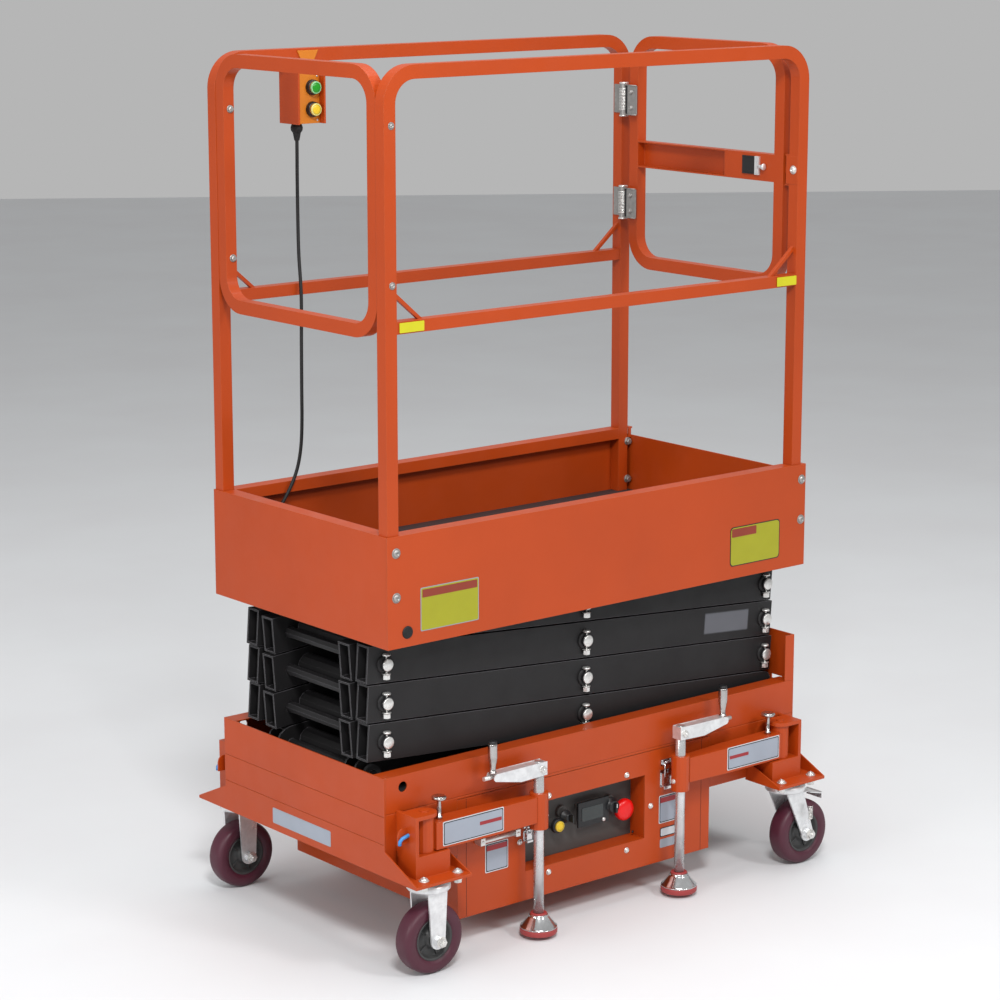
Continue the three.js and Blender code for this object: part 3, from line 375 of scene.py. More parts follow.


# The edge colours of the orange and the grey paint are painted highlights along the edges.
ORANGE = paint("orange_powder_coat", "B0400B", 0.42, coat=0.12, edge="BE5628")
ARM = paint("arm_grey_paint", "1C1B1C", 0.52, wear="2A2829", coat=0.05, edge="7C797E")
DARK = paint("dark_floor_paint", "3A3A3C", 0.55, wear="55504C", coat=0.05)
AMBER = paint("amber_paint", "C9741A", 0.4)
PANEL = paint("panel_grey_paint", "484644", 0.5, coat=0.1)
ZINC = zinc("zinc_plate", "E6E7E8", 0.33, metallic=0.65)
BOLT = zinc("bolt_zinc", "E2E1DE", 0.27, 160, 0.75)
CHROME = zinc("bright_chrome", "DEDFE0", 0.12, 30, 1.0)
CHROME_DULL = zinc("satin_chrome", "B9B6B4", 0.22, 45, 1.0)
TUBE = zinc("jack_tube_zinc", "DCDDDE", 0.24, 22, 0.75)
WORN_ZINC = zinc("worn_zinc", "A3A19E", 0.4, 120, 0.7)
BLACK = plastic("black_plastic", "17181A", 0.45)
RUBBER = plastic("black_rubber", "0B0B0C", 0.62, 260, 0.3)
TYRE = plastic("maroon_tyre", "4A1A2B", 0.48, 180, 0.25)
HUB = plastic("hub_grey", "3A3A3A", 0.5, 300, 0.2)
FOOT_RED = plastic("foot_rim_red", "9E3A3A", 0.5, 200, 0.2)
STOP_RED = plastic("stop_red", "DB0708", 0.32, 60, 0.05)
GREEN = plastic("button_green", "189018", 0.35, 80, 0.05)
YELLOW = plastic("button_yellow", "DDB81F", 0.38, 80, 0.05)
BLUE = plastic("lever_blue", "3E86C9", 0.4, 90, 0.08)
GREY_LABEL = label("label_grey", "9A9FA8")
DULL_LABEL = label("label_dull", "5A5B61")
DULL_RIM = label("label_dull_rim", "3C3D41")
PALE_LABEL = label("label_pale", "C9CBCF")
YELLOW_LABEL = label("label_yellow", "D9B93A")
MAROON_LABEL = label("label_maroon", "96242A")
BLACK_LABEL = label("label_black", "1B1B1D")
BLUE_GREY_LABEL = label("label_blue_grey", "99A0AC")
PALE_YELLOW = plastic("button_rim_yellow", "D8CC78", 0.35, 80, 0.05)
PALE_GREEN = plastic("button_rim_green", "86C48A", 0.35, 80, 0.05)
# Painted shade for the gaps of the door seams.
SEAM_SHADE = plastic("seam_shadow", "3A1710", 0.8, 80, 0.05)
GLASS = plastic("display_face", "2F3434", 0.12, 40, 0.02)

# What the nodes' names start with, for each material; the rest are orange.
NODE_MATERIALS = [
    (ARM, ("scissor",)),
    (DARK, ("tub_floor", "platform_deck", "lift_cylinder_barrel")),
    (CHROME, ("lift_cylinder_rod",)),
    (BLACK, ("battery",)),
    (ZINC, ("rigid_fork", "swivel", "jack")),
    (WORN_ZINC, ("gate_hinge",)),
    (PANEL, ("lower_control_panel",)),
    (STOP_RED, ("emergency_stop",)),
    (AMBER, ("control_plate",)),
    (RUBBER, ("cable", "control_cable")),
    (TYRE, ("front_wheel", "rear_wheel")),
]

for node_name, node_object in nodes.items():
    fitting = [found for found, starts in NODE_MATERIALS if node_name.startswith(starts)]
    node_object.data.materials.clear()
    node_object.data.materials.append(fitting[0] if fitting else ORANGE)

# ---- Control cable
# The route repeats the one in the construction model: out of the gland under the control
# box, down beside the far post and into the grommet in the deck.
CABLE_ROUTE_MM = [
    (-382.8, 293.4, 1640.4), (-383, 293.2, 1612.5), (-384.3, 292, 1584.6),
    (-385.8, 290.1, 1556.8), (-387.4, 287.9, 1529), (-389.1, 285.5, 1501.3),
    (-390.9, 282.8, 1473.6), (-392.8, 279.9, 1445.8), (-394.7, 276.7, 1418.2),
    (-396.4, 273, 1390.5), (-397.9, 268.2, 1363.1), (-399.2, 263.7, 1335.6),
    (-400.2, 261.2, 1307.8), (-400.9, 260.6, 1279.9), (-401.3, 260.8, 1252),
    (-401.7, 261, 1224.1), (-402.1, 260.9, 1196.2), (-402.4, 260.9, 1168.3),
    (-402.6, 261, 1140.3), (-402.9, 261, 1112.4), (-403, 261, 1084.5),
    (-403.1, 261, 1056.6), (-403.9, 261, 1028.6), (-405.4, 261, 1000.8),
    (-409, 261, 973.1), (-415.2, 261, 945.9), (-425.4, 261, 920), (-439.4, 261, 895.8),
    (-455.3, 261, 872.9), (-472.5, 261, 851), (-491.4, 261, 830.4), (-510.9, 261, 810.5),
    (-520.3, 261, 785.1),
]
CABLE_DIAMETER = 0.0075


def control_cable():
    curve = bpy.data.curves.new("cable_lead", "CURVE")
    curve.dimensions = "3D"
    curve.bevel_depth = CABLE_DIAMETER / 2
    curve.bevel_resolution = 4
    curve.resolution_u = 6
    curve.use_fill_caps = True
    spline = curve.splines.new("NURBS")
    spline.points.add(len(CABLE_ROUTE_MM) - 1)
    for point, place in zip(spline.points, CABLE_ROUTE_MM):
        point.co = (*mm(*place), 1)
    spline.use_endpoint_u = True
    spline.order_u = 3
    lead = placed("cable_lead", curve)
    curve.materials.append(RUBBER)
    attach(lead, "platform")
    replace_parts(lead, "control_cable")


control_cable()

# ---- Shared fittings
LEFT, RIGHT = Vector((-1, 0, 0)), Vector((1, 0, 0))
NEAR, FAR = Vector((0, -1, 0)), Vector((0, 1, 0))
UP, DOWN = Vector((0, 0, 1)), Vector((0, 0, -1))
ACROSS = {tuple(NEAR): RIGHT, tuple(FAR): LEFT, tuple(LEFT): NEAR, tuple(RIGHT): FAR}


def rounded(width, height, radius, steps=5):
    """A rectangle from (0, 0) to (width, height) with round corners."""
    points = []
    corners = [(width - radius, radius, -90), (width - radius, height - radius, 0),
               (radius, height - radius, 90), (radius, radius, 180)]
    for x, y, start in corners:
        for i in range(steps + 1):
            angle = math.radians(start + 90 * i / steps)
            points.append((x + radius * math.cos(angle), y + radius * math.sin(angle)))
    return points


def shifted(outline, dx, dy):
    return [(x + dx, y + dy) for x, y in outline]


# Millimetres: washers under hexagon and mushroom heads; across flats over corner radius.
HEX_WASHER, DOME_WASHER, FLATS_TO_CORNER = 1.6, 1.4, 1.732


def hex_bolt(build, at, axis, across=13, washer=18, head=6):
    """A washer and a hexagon head with a chamfered rim; sizes in millimetres."""
    r, c, lift = washer / 2, across / FLATS_TO_CORNER, HEX_WASHER
    top = head + lift
    build.turned([(0, lift), (r * 0.92, lift), (r, 1.1), (r, 0)], at, axis, 24, False)
    build.turned([(0, top), (c * 0.72, top), (c, head + 0.4), (c, 1.5)], at, axis, 6, False)


def dome_bolt(build, at, axis, diameter=16, height=5, washer=None):
    """A mushroom head with a small round socket; sizes in millimetres."""
    lift = 0.0
    if washer:
        r = washer / 2
        lift = DOME_WASHER
        build.turned([(0, lift), (r * 0.94, lift), (r, 0.9), (r, 0)], at, axis, 28, False)
    r, h = diameter / 2, height
    socket = r * 0.42
    rim = [(r * math.cos(a), lift + h * (0.25 + 0.75 * math.sin(a))) for a in (1.0, 0.7, 0.35, 0)]
    recess = [(0, lift + h * 0.45), (socket, lift + h * 0.45), (socket, lift + h * 0.98)]
    build.turned(recess + rim + [(r, lift)], at, axis, 24)


def pan_screw(build, at, axis, diameter=9, height=2.6):
    """A pan head that domes up to a small flat; sizes in millimetres."""
    r, h = diameter / 2, height
    profile = [(0, h), (r * 0.5, h * 0.97), (r * 0.86, h * 0.7), (r, h * 0.25), (r, 0)]
    build.turned(profile, at, axis, 20)


PLATE_RIM, LAYER_BASE, LAYER_STEP, BAR_BASE = 0.002, 0.0005, 0.0002, 0.0007


def blank_plate(
    name, body, corner, facing, width, height, layers, bars=(), radius=3.0, across=None, up=UP
):
    """A blank plate, sizes in millimetres, standing on its lower left corner.

    The layers stack outwards, each 2 mm smaller all round; bars are blocks of colour on the
    last layer, as (left, bottom, right, top) shares of the plate.
    """
    across = across or ACROSS[tuple(facing)]
    corner = Vector(corner)
    w, h, r = width / 1000, height / 1000, radius / 1000
    for i, material in enumerate(layers):
        inset = PLATE_RIM * i
        build = Build()
        outline = shifted(rounded(w - 2 * inset, h - 2 * inset, r), inset, inset)
        build.plate(outline, LAYER_BASE + LAYER_STEP * i, corner, across, up)
        build.piece(f"{name}_layer_{i + 1}", material, body)
    for i, (material, (left, bottom, right, top)) in enumerate(bars):
        build = Build()
        outline = rounded((right - left) * w, (top - bottom) * h, r / 4)
        outline = shifted(outline, left * w, bottom * h)
        build.plate(outline, BAR_BASE + LAYER_STEP * len(layers), corner, across, up)
        build.piece(f"{name}_bar_{i + 1}", material, body)


# ---- Toe boards
BOARD_LIME = label("board_plate_lime", "9C9A14")
RAIL_LIME = label("rail_plate_lime", "C6C014")
DARK_RED = label("band_dark_red", "86301C")
GREY_RIM = label("rim_grey", "8F9398")
board_face = low("toe_board_near").y
far_face = high("toe_board_far").y

POST_INNER_Y = 0.2732
BOARD_BOLTS_X, BOARD_BOLTS_Z = mm(-583.3, 551.6), mm(878.5, 787.5)
PLUG_X, PLUG_Z = -0.5563, 0.713
PLUG = [(0, 2.2), (8, 2.1), (9.5, 3), (12, 2.6), (13, 0.8), (13, 0)]


def board_fittings():
    """Carriage bolts that hold the rail posts to the boards, rubber plugs and blank plates."""
    bolts = Build()
    for x in BOARD_BOLTS_X:
        for z in BOARD_BOLTS_Z:
            dome_bolt(bolts, (x, board_face, z), NEAR, 17, 5, 21)
            dome_bolt(bolts, (x, far_face, z), FAR, 17, 5, 21)
            hex_bolt(bolts, (x, -POST_INNER_Y, z), FAR, 13, 19, 7)
            hex_bolt(bolts, (x, POST_INNER_Y, z), NEAR, 13, 19, 7)
    bolts.piece("board_bolts", WORN_ZINC, "platform")

    plug = Build()
    for face, axis in ((board_face, NEAR), (far_face, FAR)):
        plug.turned(PLUG, (PLUG_X, face, PLUG_Z), axis, 28)
    plug.piece("board_plugs", RUBBER, "platform")

    blank_plate("board_plate_left", "platform", (-0.523, board_face, 0.709), NEAR, 150, 90,
                [GREY_RIM, BOARD_LIME], [(DARK_RED, (0.03, 0.77, 0.97, 0.95))])
    blank_plate("board_plate_right", "platform", (0.335, board_face, 0.7105), NEAR, 151, 88,
                [BLACK_LABEL, BOARD_LIME], [(DARK_RED, (0.03, 0.74, 0.52, 0.95))], radius=8)


board_fittings()

TREAD_STEP, TREAD_MARGIN, TREAD_HEIGHT = 0.026, 0.075, 0.0012
LOZENGE_HALF_LENGTH, LOZENGE_HALF_WIDTH, LOZENGE_SHOULDER = 0.0095, 0.0026, 0.45


def deck_tread():
    """Raised lozenges in alternating directions over the sheet that is walked on."""
    edge_x, edge_y, top = high("platform_deck")
    half_x, half_y = edge_x - TREAD_MARGIN, edge_y - TREAD_MARGIN
    a, b = LOZENGE_HALF_LENGTH, LOZENGE_HALF_WIDTH
    c = a * LOZENGE_SHOULDER
    outline = [(-a, 0), (-c, -b), (c, -b), (a, 0), (c, b), (-c, b)]
    tread = Build()
    for i in range(int(2 * half_x / TREAD_STEP) + 1):
        for j in range(int(2 * half_y / TREAD_STEP) + 1):
            turn = math.radians(45 if (i + j) % 2 else -45)
            along = Vector((math.cos(turn), math.sin(turn), 0))
            aside = Vector((-math.sin(turn), math.cos(turn), 0))
            at = (-half_x + i * TREAD_STEP, -half_y + j * TREAD_STEP, top)
            tread.plate(outline, TREAD_HEIGHT, at, along, aside)
    tread.piece("deck_tread", DARK, "platform")


deck_tread()

# ---- Guard rails
rail_face = low("guard_rail_near").y
RAIL_PLATE_Z = 1.3165
END_BOLTS_Z = (1.7198, 1.411)
POST_HALF, END_TUBE = 0.0173, 0.028


def rail_fittings():
    """Blank plates on the mid rail and the bolts that pin the end frame to the long rails."""
    for name, x, width in (("right", 0.466, 59), ("left", -0.568, 61)):
        blank_plate(f"rail_plate_{name}", "platform", (x, rail_face, RAIL_PLATE_Z), NEAR, width, 20,
                    [RAIL_LIME], radius=1.5)
    bolts = Build()
    end_x = low("guard_rail_near").x + POST_HALF
    for z in END_BOLTS_Z:
        dome_bolt(bolts, (end_x, rail_face, z), NEAR, 11, 4, 15)
        dome_bolt(bolts, (end_x, high("guard_rail_far").y, z), FAR, 11, 4, 15)
        hex_bolt(bolts, (end_x, high("end_frame_rear").y - END_TUBE, z), NEAR, 11, 16, 5)
        hex_bolt(bolts, (end_x, low("end_frame_rear").y + END_TUBE, z), FAR, 11, 16, 5)
    bolts.piece("end_frame_bolts", WORN_ZINC, "platform")


rail_fittings()

# ---- Scissor pins
JOINTS = {joint["name"]: joint for joint in frame["joints"]}
left_x, _, base_z = JOINTS["scissor_lift"]["pos_m"]
mid_x = JOINTS["scissor_cross_1"]["pos_m"][0]
rise = JOINTS["scissor_knuckle_1"]["pos_m"][2] - base_z
right_x = 2 * mid_x - left_x
ARM_SLOPE = math.atan2(rise, right_x - left_x)

# How far the bosses stand past the arms' sides, and the bolt that crosses each pin's end.
BOSS_PROUD = 0.012
CROSS_BOLT_DEPTH, CROSS_BOLT_BELOW, CROSS_BOLT_ABOVE = 0.0055, 0.03, 0.022
PIN_FACE = [(0, 2.4), (11.2, 2.4), (12.8, 1.4), (12.8, 0)]
CROSS_HEAD = [(0, 4.5), (7.2, 4), (8.5, 2.2), (8.5, 0), (0, 0)]
CROSS_NUT = [(0, 10), (6.6, 10), (7.8, 8.8), (7.8, 0), (0, 0)]
CROSS_WASHER = [(0, 1.6), (9.2, 1.6), (9.2, 0), (0, 0)]
COLLAR = [(13.8, 5.2), (17.8, 4.6), (19.6, 3), (19.6, 0)]


def pin_end(build, x, z, face, facing):
    """The bright end of a pivot pin, held by a bolt and nut that cross its boss."""
    build.turned(PIN_FACE, (x, face, z), facing, 32)
    y = face - facing.y * CROSS_BOLT_DEPTH
    build.tube([(x, y, z - CROSS_BOLT_BELOW), (x, y, z + CROSS_BOLT_ABOVE)], 0.0022, 8)
    build.turned(CROSS_HEAD, (x, y, z + 0.019), UP)
    build.turned(CROSS_NUT, (x, y, z - 0.0305), UP, 6, False)
    build.turned(CROSS_WASHER, (x, y, z - 0.02), UP)


def scissor_pins():
    """Pin ends and collars on each outer arm: its left pin, its middle and its right pin."""
    for level in range(1, 5):
        node = f"scissor_outer_{level}"
        near, far = low(node).y, high(node).y
        places = [(left_x, base_z + level * rise), (mid_x, base_z + (level - 0.5) * rise)]
        if level > 1:
            places.append((right_x, base_z + (level - 1) * rise))
        bright = Build()
        for x, z in places:
            pin_end(bright, x, z, near, NEAR)
            pin_end(bright, x, z, far, FAR)
        bright.piece(f"pin_ends_{level}", BOLT, node)
        collars = Build()
        for x, z in places:
            for face, facing in ((near + BOSS_PROUD, NEAR), (far - BOSS_PROUD, FAR)):
                collars.turned(COLLAR, (x, face, z), facing, 36)
        collars.piece(f"pin_collars_{level}", ARM, node)


scissor_pins()


def arm_plate():
    """A blank grey plate on the third outer arm, lying along its slope."""
    across = Vector((math.cos(ARM_SLOPE), 0, -math.sin(ARM_SLOPE)))
    up = Vector((math.sin(ARM_SLOPE), 0, math.cos(ARM_SLOPE)))
    face = low("scissor_outer_3").y + BOSS_PROUD
    blank_plate("arm_plate", "scissor_outer_3", (0.332, face, 0.5425), NEAR, 136, 48,
                [DULL_RIM, DULL_LABEL], across=across, up=up)


arm_plate()

# ---- Wheels
def mirrored(profile):
    """A half profile, from the outer side inwards, closed by its mirror image."""
    return profile + [(radius, -along) for radius, along in reversed(profile)]


TYRE_HALF = [
    (45.5, -18.5), (49, -20.5), (50, -21.8), (56, -22.6), (64, -22.6), (69, -20.8), (72.2, -17),
    (73.7, -11), (74, -4),
]
HUB_HALF = [
    (8.5, -20.5), (16.5, -20.5), (18, -19.5), (19.5, -11), (24, -9), (34, -9), (38, -11),
    (40, -17.5), (42, -19.5), (45.2, -19.5), (45.8, -18.5),
]
SPOKES, SPOKE_RADIUS, SPOKE_OUT = 5, 0.029, 0.0105
SPOKE_HALF = Vector((0.009, 0.002, 0.0016))


def wheel(node, body):
    """A tyre in place of the plain wheel, and a hub with short ribs on both sides."""
    centre = middle(node)
    profile = mirrored(TYRE_HALF)
    tyre = spun(f"{node}_tyre", TYRE, body, profile + profile[:1], centre, FAR, 72)
    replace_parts(tyre, node)
    hub = Build()
    profile = mirrored(HUB_HALF)
    hub.turned(profile + profile[:1], centre, FAR, 48)
    for side in (NEAR, FAR):
        for i in range(SPOKES):
            angle = 2 * math.pi * i / SPOKES
            out = Vector((math.cos(angle), 0, math.sin(angle)))
            turn = out.to_track_quat("X", "Z").to_matrix().to_4x4()
            at = centre + out * SPOKE_RADIUS + side * SPOKE_OUT
            hub.box(at - SPOKE_HALF, at + SPOKE_HALF, 0.0006, turn)
    hub.piece(f"{node}_hub", HUB, body)


for corner in ("rear_wheel_near", "rear_wheel_far", "front_wheel_near", "front_wheel_far"):
    wheel(corner, corner)


def axle_bolts(fork, wheel_node, body):
    """A hexagon head and a stub of thread on each cheek of a fork, on the wheel's axle."""
    centre = middle(wheel_node)
    build = Build()
    for facing, cheek in ((NEAR, low(fork).y), (FAR, high(fork).y)):
        place = Vector((centre.x, cheek, centre.z))
        hex_bolt(build, place, facing, 17, 24, 6.5)
        build.tube([place + facing * 0.006, place + facing * 0.0108], 0.0048, 16)
    build.piece(f"{fork}_axle_bolts", BOLT, body)


for side in ("near", "far"):
    axle_bolts(f"rigid_fork_{side}", f"rear_wheel_{side}", "chassis")
    axle_bolts(f"swivel_fork_{side}", f"front_wheel_{side}", f"caster_{side}")


PLATE_TOP, PLATE_BOTTOM, CROWN_BOTTOM = 0.2093, 0.1965, 0.179
CASTER_BOLTS_X, CASTER_BOLTS_Y = (-0.566, -0.479, 0.4476, 0.5395), 0.366
CROWN = [(0, 16), (40, 16), (44, 14.5), (45.5, 11), (45.5, 3), (43.5, 0.5), (40, 0), (0, 0)]
KINGPIN = [(0, 6), (10, 5.5), (12.5, 3), (12.5, 0), (0, 0)]


def caster_plates():
    """Carriage bolts through the corner plates and the nuts under the caster plates."""
    bolts = Build()
    for y in (-CASTER_BOLTS_Y, CASTER_BOLTS_Y):
        for x in CASTER_BOLTS_X:
            dome_bolt(bolts, (x, y, PLATE_TOP), UP, 17, 6, 22)
            hex_bolt(bolts, (x, y, PLATE_BOTTOM), DOWN, 15, 20, 8)
    bolts.piece("caster_plate_bolts", BOLT, "chassis")


caster_plates()


def caster_crown(fork, body):
    """The pressed crown between the caster's top plate and its fork legs, with its kingpin."""
    x, y, _ = middle(fork)
    if body != "chassis":
        x = JOINTS[body.replace("caster", "caster_swivel")]["pos_m"][0]
    crown = Build()
    crown.turned(CROWN, (x, y, CROWN_BOTTOM), UP, 56)
    crown.turned(KINGPIN, (x, y, CROWN_BOTTOM), DOWN, 28)
    crown.piece(f"{fork}_crown", ZINC, body)


for side in ("near", "far"):
    caster_crown(f"rigid_fork_{side}", "chassis")
    caster_crown(f"swivel_fork_{side}", f"caster_{side}")

# ---- Jacks
JACK_Y = 0.325
SLEEVE_RADIUS = 0.02
CRANK_Z, CRANK_REACH, CRANK_HALF_WIDTH, CRANK_SHEET = 0.369, 0.131, 0.013, 0.0022
CRANK_BACK, CRANK_FRONT, CRANK_RISE = 0.012, 0.122, 0.0128
HANDLE_REACH = 0.125
CRANK_OUTLINE = [
    (0.012, -0.013), (0.012, 0.016), (-0.122, 0.015), (-0.129, 0.012), (-0.131, 0.007),
    (-0.131, 0.003), (-0.127, -0.001), (-0.059, -0.015),
]
JACK_TUBE = [(0, 385), (10, 385), (11, 384), (11, 48), (0, 48)]
JACK_FOOT = [
    (11.2, 49.5), (18.5, 49.5), (20, 48), (20, 45.5), (21.5, 44), (36, 25.5), (38.5, 23.5),
    (39.6, 22.8), (39.6, 21.2), (11.2, 21.2),
]
FOOT_RIM = [(0, 21.2), (38.5, 21.2), (39.7, 20), (40, 18.5), (40, 11), (38.5, 8.4), (36, 8), (0, 8)]
FOOT_COLLAR = [(11.2, 52.5), (16.5, 52.5), (18, 51.2), (18, 49.5), (11.2, 49.5)]
GRIP = [(0, 446.8), (8.8, 446.8), (9.8, 445.5), (10, 442), (10, 418), (9.4, 413), (7, 401),
        (6.3, 395), (6.3, 387), (8.2, 386), (8.2, 384), (0, 384)]
GRIP_CAP = [(0, 453), (7.2, 452.8), (9, 451.2), (9.4, 449), (9, 446.8), (0, 446.8)]


def jack(end, side, along, sign):
    """Screw jack: tube, chrome foot on a red rubber rim, channel crank and upright handle."""
    arm = f"outrigger_arm_{end}_{side}"
    body = f"jack_{end}_{side}"
    x = high(arm).x - SLEEVE_RADIUS if along > 0 else low(arm).x + SLEEVE_RADIUS
    y = sign * JACK_Y
    base = Vector((x, y, 0))
    half, sheet = CRANK_HALF_WIDTH, CRANK_SHEET

    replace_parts(spun(f"{body}_tube", TUBE, body, JACK_TUBE, base, UP, 40), body)
    spun(f"{body}_foot", CHROME, body, JACK_FOOT, base, UP, 64)
    rim = Build()
    rim.turned(FOOT_RIM, base, UP, 64)
    rim.turned(FOOT_COLLAR, base, UP, 40)
    rim.piece(f"{body}_rubber", FOOT_RED, body)

    crank = Build()
    outline = [(along * a, b) for a, b in CRANK_OUTLINE]
    level = Vector((x, 0, CRANK_Z))
    for face in (y - half + sheet, y + half):
        crank.plate(outline, sheet, level + Vector((0, face, 0)), RIGHT, UP)
    top = CRANK_Z + CRANK_RISE
    span = sorted((x + along * CRANK_BACK, x - along * CRANK_FRONT))
    crank.box((span[0], y - half + sheet, top), (span[1], y + half - sheet, top + sheet))
    nose = sorted((x + along * CRANK_BACK, x + along * (CRANK_BACK - sheet)))
    crank.box((nose[0], y - half + sheet, CRANK_Z - half), (nose[1], y + half - sheet, top))
    crank.piece(f"{body}_crank", ZINC, body)

    bolts = Build()
    hex_bolt(bolts, (x, y - half, CRANK_Z), NEAR, 13, 17, 6)
    hex_bolt(bolts, (x, y + half, CRANK_Z), FAR, 13, 17, 6)
    bolts.tube([(x, y - half - 0.009, CRANK_Z), (x, y + half + 0.009, CRANK_Z)], 0.0034, 16)
    knob = x - along * 0.12
    reach = x - along * (CRANK_REACH + 0.018)
    bolts.tube([(knob, y, CRANK_Z + 0.006), (reach, y, CRANK_Z + 0.006)], 0.0048, 20)
    bolts.piece(f"{body}_crank_bolts", BOLT, body)

    handle = Vector((x - along * HANDLE_REACH, y, 0))
    spun(f"{body}_grip", CHROME_DULL, body, GRIP, handle, UP, 40)
    spun(f"{body}_cap", BLACK, body, GRIP_CAP, handle, UP, 36)


PLUNGER = [(0, 50), (12, 50), (14.8, 48.8), (15.8, 46.2), (15, 42.8), (11, 40.8), (5.8, 40),
           (4.6, 38), (4.6, 8), (7, 7), (7, 0), (0, 0)]
PLUNGER_AWAY, PLUNGER_Z = 0.038, 0.3148
ARM_PLATE_WIDTH, ARM_PLATE_HEIGHT, ARM_PLATE_Z, GRUB_Z = 160, 52, 0.2622, 0.262


def outrigger_fittings(end, side, along, sign):
    """Knobbed plunger beside the hinge, blank plate on the arm and the sleeve's grub screw."""
    arm = f"outrigger_arm_{end}_{side}"
    body = f"outrigger_{end}_{side}"
    hinge_x = JOINTS[f"outrigger_swing_{end}_{side}"]["pos_m"][0]
    y = sign * JACK_Y
    at = Vector((hinge_x + along * PLUNGER_AWAY, y, PLUNGER_Z))
    spun(f"{body}_plunger", CHROME_DULL, body, PLUNGER, at, UP, 40)

    width = ARM_PLATE_WIDTH / 1000
    left = hinge_x + along * 0.032 if along > 0 else hinge_x - 0.0215 - width
    corner_x = left if sign < 0 else left + width
    facing, face = (NEAR, low(arm).y) if sign < 0 else (FAR, high(arm).y)
    bar = (0.6, 0.48, 0.96, 0.62) if along * -sign > 0 else (0.04, 0.48, 0.4, 0.62)
    blank_plate(f"{body}_plate", body, (corner_x, face, ARM_PLATE_Z), facing, ARM_PLATE_WIDTH,
                ARM_PLATE_HEIGHT, [PALE_LABEL, BLACK_LABEL, BLUE_GREY_LABEL], [(MAROON_LABEL, bar)])
    screw = Build()
    sleeve_x = high(arm).x if along > 0 else low(arm).x
    hex_bolt(screw, (sleeve_x - along * 0.0012, y, GRUB_Z), RIGHT * along, 8, 11, 4)
    screw.piece(f"{body}_sleeve_screw", BOLT, body)


for side, sign in (("near", -1), ("far", 1)):
    for end, along in (("rear", 1), ("front", -1)):
        jack(end, side, along, sign)
        outrigger_fittings(end, side, along, sign)


# ---- Lower housing and its controls
house_face = low("lower_housing").y
house_back = high("lower_housing").y

# Draw latches: sheet of the base and strike, the bail's half width as a share, and its wire.
BASE_SHEET, BAIL_SHARE, BAIL_RADIUS = 0.0018, 0.62, 0.0017
HOUSING_SCREWS = [
    (-0.1669, 0.2865), (0.054, 0.2873), (0.1249, 0.2026), (0.0555, 0.1162), (-0.1676, 0.1168),
    (-0.248, 0.201),
]
PULL_ENDS_X, PULL_Z, PULL_OUT, PULL_RADIUS = (-0.364, -0.269), 0.2315, 0.017, 0.005
SEAMS_X, SEAM_BOTTOM, SEAM_TOP, SEAM_HALF = (-0.3918, 0.2763), 0.07, 0.3262, 0.0005
SEAM_PROUD, SEAM_DEPTH = 0.0002, 0.0004


def draw_latch(build, x, z, face, facing, width, height):
    """A toggle latch: base plate, folded lever with a lip, strike, hook and wire bail."""
    side = facing.y
    w = width / 2000
    h = height / 1000

    def slab(x0, x1, z0, z1, d0, d1, bevel=0.0006):
        ys = sorted((face + side * d0, face + side * d1))
        build.box((x + x0, ys[0], z + z0), (x + x1, ys[1], z + z1), bevel)

    slab(-w, w, 0, h * 0.62, 0, BASE_SHEET)
    slab(-w * 0.85, w * 0.85, h * 0.06, h * 0.52, BASE_SHEET, 0.0095, 0.0022)
    slab(-w * 0.85, w * 0.85, -h * 0.06, h * 0.08, 0.008, 0.012, 0.0014)
    slab(-w * 0.9, w * 0.9, h * 0.78, h, 0, BASE_SHEET)
    slab(-w * 0.6, w * 0.6, h * 0.8, h * 0.9, BASE_SHEET, 0.0085, 0.0012)
    bail = w * BAIL_SHARE
    wires = [
        [(edge, 0.0075, 0.3), (edge, 0.0098, 0.6), (edge, 0.0092, 0.92)] for edge in (-bail, bail)
    ]
    wires.append([(-bail, 0.0092, 0.92), (bail, 0.0092, 0.92)])
    for wire in wires:
        places = [(x + out, face + side * off, z + h * share) for out, off, share in wire]
        build.tube(places, BAIL_RADIUS, 10)
    for px in (-w * 0.6, w * 0.6):
        pan_screw(build, (x + px, face + side * BASE_SHEET, z + h * 0.94), facing, 5, 1.4)


